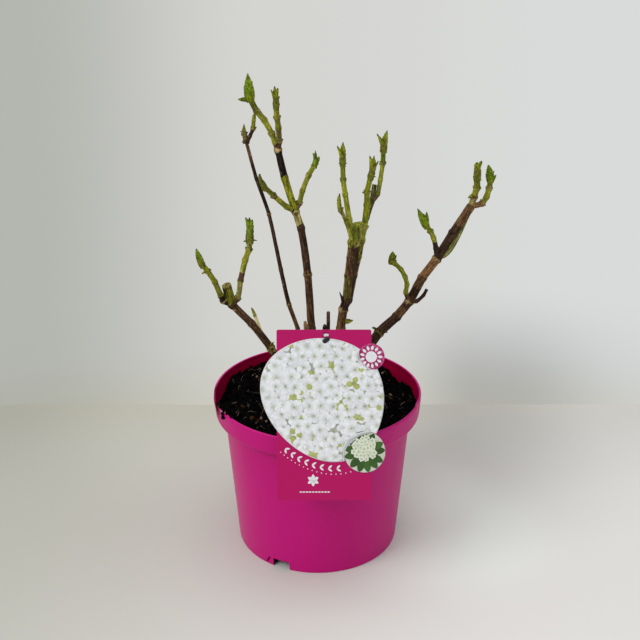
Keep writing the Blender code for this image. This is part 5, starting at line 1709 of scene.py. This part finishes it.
# The wall and floor colours paint the studio's light and shade: brighter to the right and near, a painted
# shadow of the pot behind it on the right, a painted pale patch beside the pot and painted shade where the
# floor meets the wall
stage = dict(
    floor=(3.2, -3.2, 0.31), floorNear=paint(229, 228, 225), floorFar=paint(184, 184, 174),
    wallLeft=paint(180, 182, 176), wallMiddle=paint(212, 212, 209), wallRight=paint(217, 219, 218),
    slantSpan=(-0.8, 0.86), cornerShadeSpan=(0.16, 0.31), skySpan=(-0.02, 0.12), litPatchPlace=(0.15, -0.01, 0),
    litPatchSpan=(0.03, 0.17), wallPlaces=(-0.28, -0.05, 0.25), wallShade=0.34, sky=0.5,
    floorLitPatch=paint(238, 250, 242), shadeSpan=(0.06, 0.16, 0.185, 0.31),
    cornerShadeTint=np.array([0.96, 0.94, 0.86]), lens=56.25, sensor=36, camera=(0, -0.99935, 0.67905), pitch=22.58,
    roll=-0.16)
# place, aim, size and power in watts
lamps = dict(
    key=((-1.8, -1.36, 2), (0, 0, 0.2), 1.5, 38), fill=((1.2, -1.9, 1.4), (0, 0, 0.2), 2.2, 2),
    top=((-0.1, 0, 2.8), (0, 0, 0.2), 2.8, 21))


def potShadowNode(tree, x, reach):
    # how dark the painted shadow of the pot on the wall and on the floor's far side is at a place from left
    # to right, from 0 to 1
    left, most, past, right = (reach * place for place in stage["shadeSpan"])
    rising = spanNode(tree, x, left, most, 0.05, 1)
    return times(tree, rising, spanNode(tree, x, past, right, 1, 0.3))


def makeFloor():
    # pale floor with painted light: darker to the left and far away, darkest in a painted shadow behind the
    # pot on its right, with a painted pale patch beside the pot and painted shade along its far edge
    wide, near, far = stage["floor"]
    mesh = bpy.data.meshes.new("floor")
    mesh.from_pydata([(-wide, near, 0), (wide, near, 0), (wide, far, 0), (-wide, far, 0)], [], [(0, 1, 2, 3)])
    floor = linked("floor", mesh)
    material, tree, shader = newMaterial("floorPaint", 0.1, 0.7)
    where = objectPlace(tree)
    x, y, z = alongAxes(tree, where)
    # near and far colours along a slant: painted light, darker to the left and far away
    slant = plusTimes(tree, x, 2, times(tree, y, -1))
    clouds = noiseNode(tree, where, 6, 3, 0.5)
    slant = plusTimes(tree, clouds, 0.08, slant)
    nearness = spanNode(tree, slant, *stage["slantSpan"])
    colour = mixColours(tree, nearness, stage["floorFar"], stage["floorNear"])
    # a painted shadow of the pot on the floor, behind it on its right
    shade = times(tree, spanNode(tree, y, 0.02, 0.28, 0, 0.22),
                     potShadowNode(tree, x, 1.35))
    colour = mixColours(tree, shade, colour, np.zeros(3))
    # brighter far away on the left: painted light
    distant = spanNode(tree, y, -0.02, 0.25)
    leftward = times(tree, spanNode(tree, x, -0.46, -0.2, -0.1, 0.16),
                        spanNode(tree, x, -0.16, 0.02, 1, 0))
    paintedLight = plusTimes(tree, distant, leftward, 1)
    colour = scaled(tree, colour, paintedLight)
    # a pale, slightly green patch beside the pot on its right: painted light that lifts and greys the pot's
    # shadow there
    pale = spanNode(tree, distanceFrom(tree, where, stage["litPatchPlace"]), *stage["litPatchSpan"], 0.55, 0)
    colour = mixColours(tree, pale, colour, stage["floorLitPatch"])
    # warm painted shade along the floor's far edge, where it meets the wall
    cornerShade = spanNode(tree, y, *stage["cornerShadeSpan"], 0, 0.5)
    wire(tree, shader, mixColours(tree, cornerShade, colour, stage["cornerShadeTint"], "MULTIPLY"))
    mesh.materials.append(material)


def makeWorld():
    # below the horizon a pale wall with painted light: brighter on the right, darker low on the right in the
    # pot's painted shadow and in painted shade at its foot; above it a soft sky
    world = bpy.data.worlds.new("studio")
    bpy.context.scene.world = world
    world.use_nodes = True
    tree = world.node_tree
    where = addNode(tree, "ShaderNodeTexCoord").outputs["Generated"]
    x, y, z = alongAxes(tree, where)
    left, middle, right = stage["wallPlaces"]
    # darker on the left and brighter on the right: painted light
    wall = mixColours(tree, spanNode(tree, x, left, middle), stage["wallLeft"], stage["wallMiddle"])
    wall = mixColours(tree, spanNode(tree, x, middle, right), wall, stage["wallRight"])
    # a painted shadow of the pot on the wall, low down and to the right
    low = spanNode(tree, z, -0.44, -0.34, stage["wallShade"], 0)
    low = times(tree, low, potShadowNode(tree, x, 1))
    wall = scaled(tree, wall, plusTimes(tree, low, -1, 1))
    # warm painted shade at the wall's foot
    wall = mixColours(tree, spanNode(tree, z, -0.465, -0.4, 1, 0), wall, stage["cornerShadeTint"], "MULTIPLY")
    sky = mixColours(tree, spanNode(tree, z, *stage["skySpan"]), wall, np.ones(3) * stage["sky"])
    tree.links.new(sky, tree.nodes["Background"].inputs["Color"])


def makeLights():
    for name, (place, aim, size, power) in lamps.items():
        lamp = bpy.data.lights.new(name, "AREA")
        lamp.shape = "DISK"
        lamp.size = size
        lamp.energy = power
        thing = linked(name, lamp)
        thing.location = place
        # turned so that its -Z axis points at the aim
        x, y, z = np.array(aim) - np.array(place)
        thing.rotation_euler = (atan2(hypot(x, y), -z), 0, atan2(-x, y))


def makeCamera():
    data = bpy.data.cameras.new("camera")
    data.lens = stage["lens"]
    data.sensor_width = stage["sensor"]
    camera = linked("camera", data)
    camera.location = stage["camera"]
    camera.rotation_euler = (radians(90 - stage["pitch"]), 0, radians(stage["roll"]))
    bpy.context.scene.camera = camera


courses = makePlant()
makePot()
makeSoil()
makeLabel()
makeTie(courses)
makeFloor()
makeWorld()
makeLights()
makeCamera()
bpy.context.scene.view_settings.view_transform = "Standard"
print("stage: floor, lights and camera")
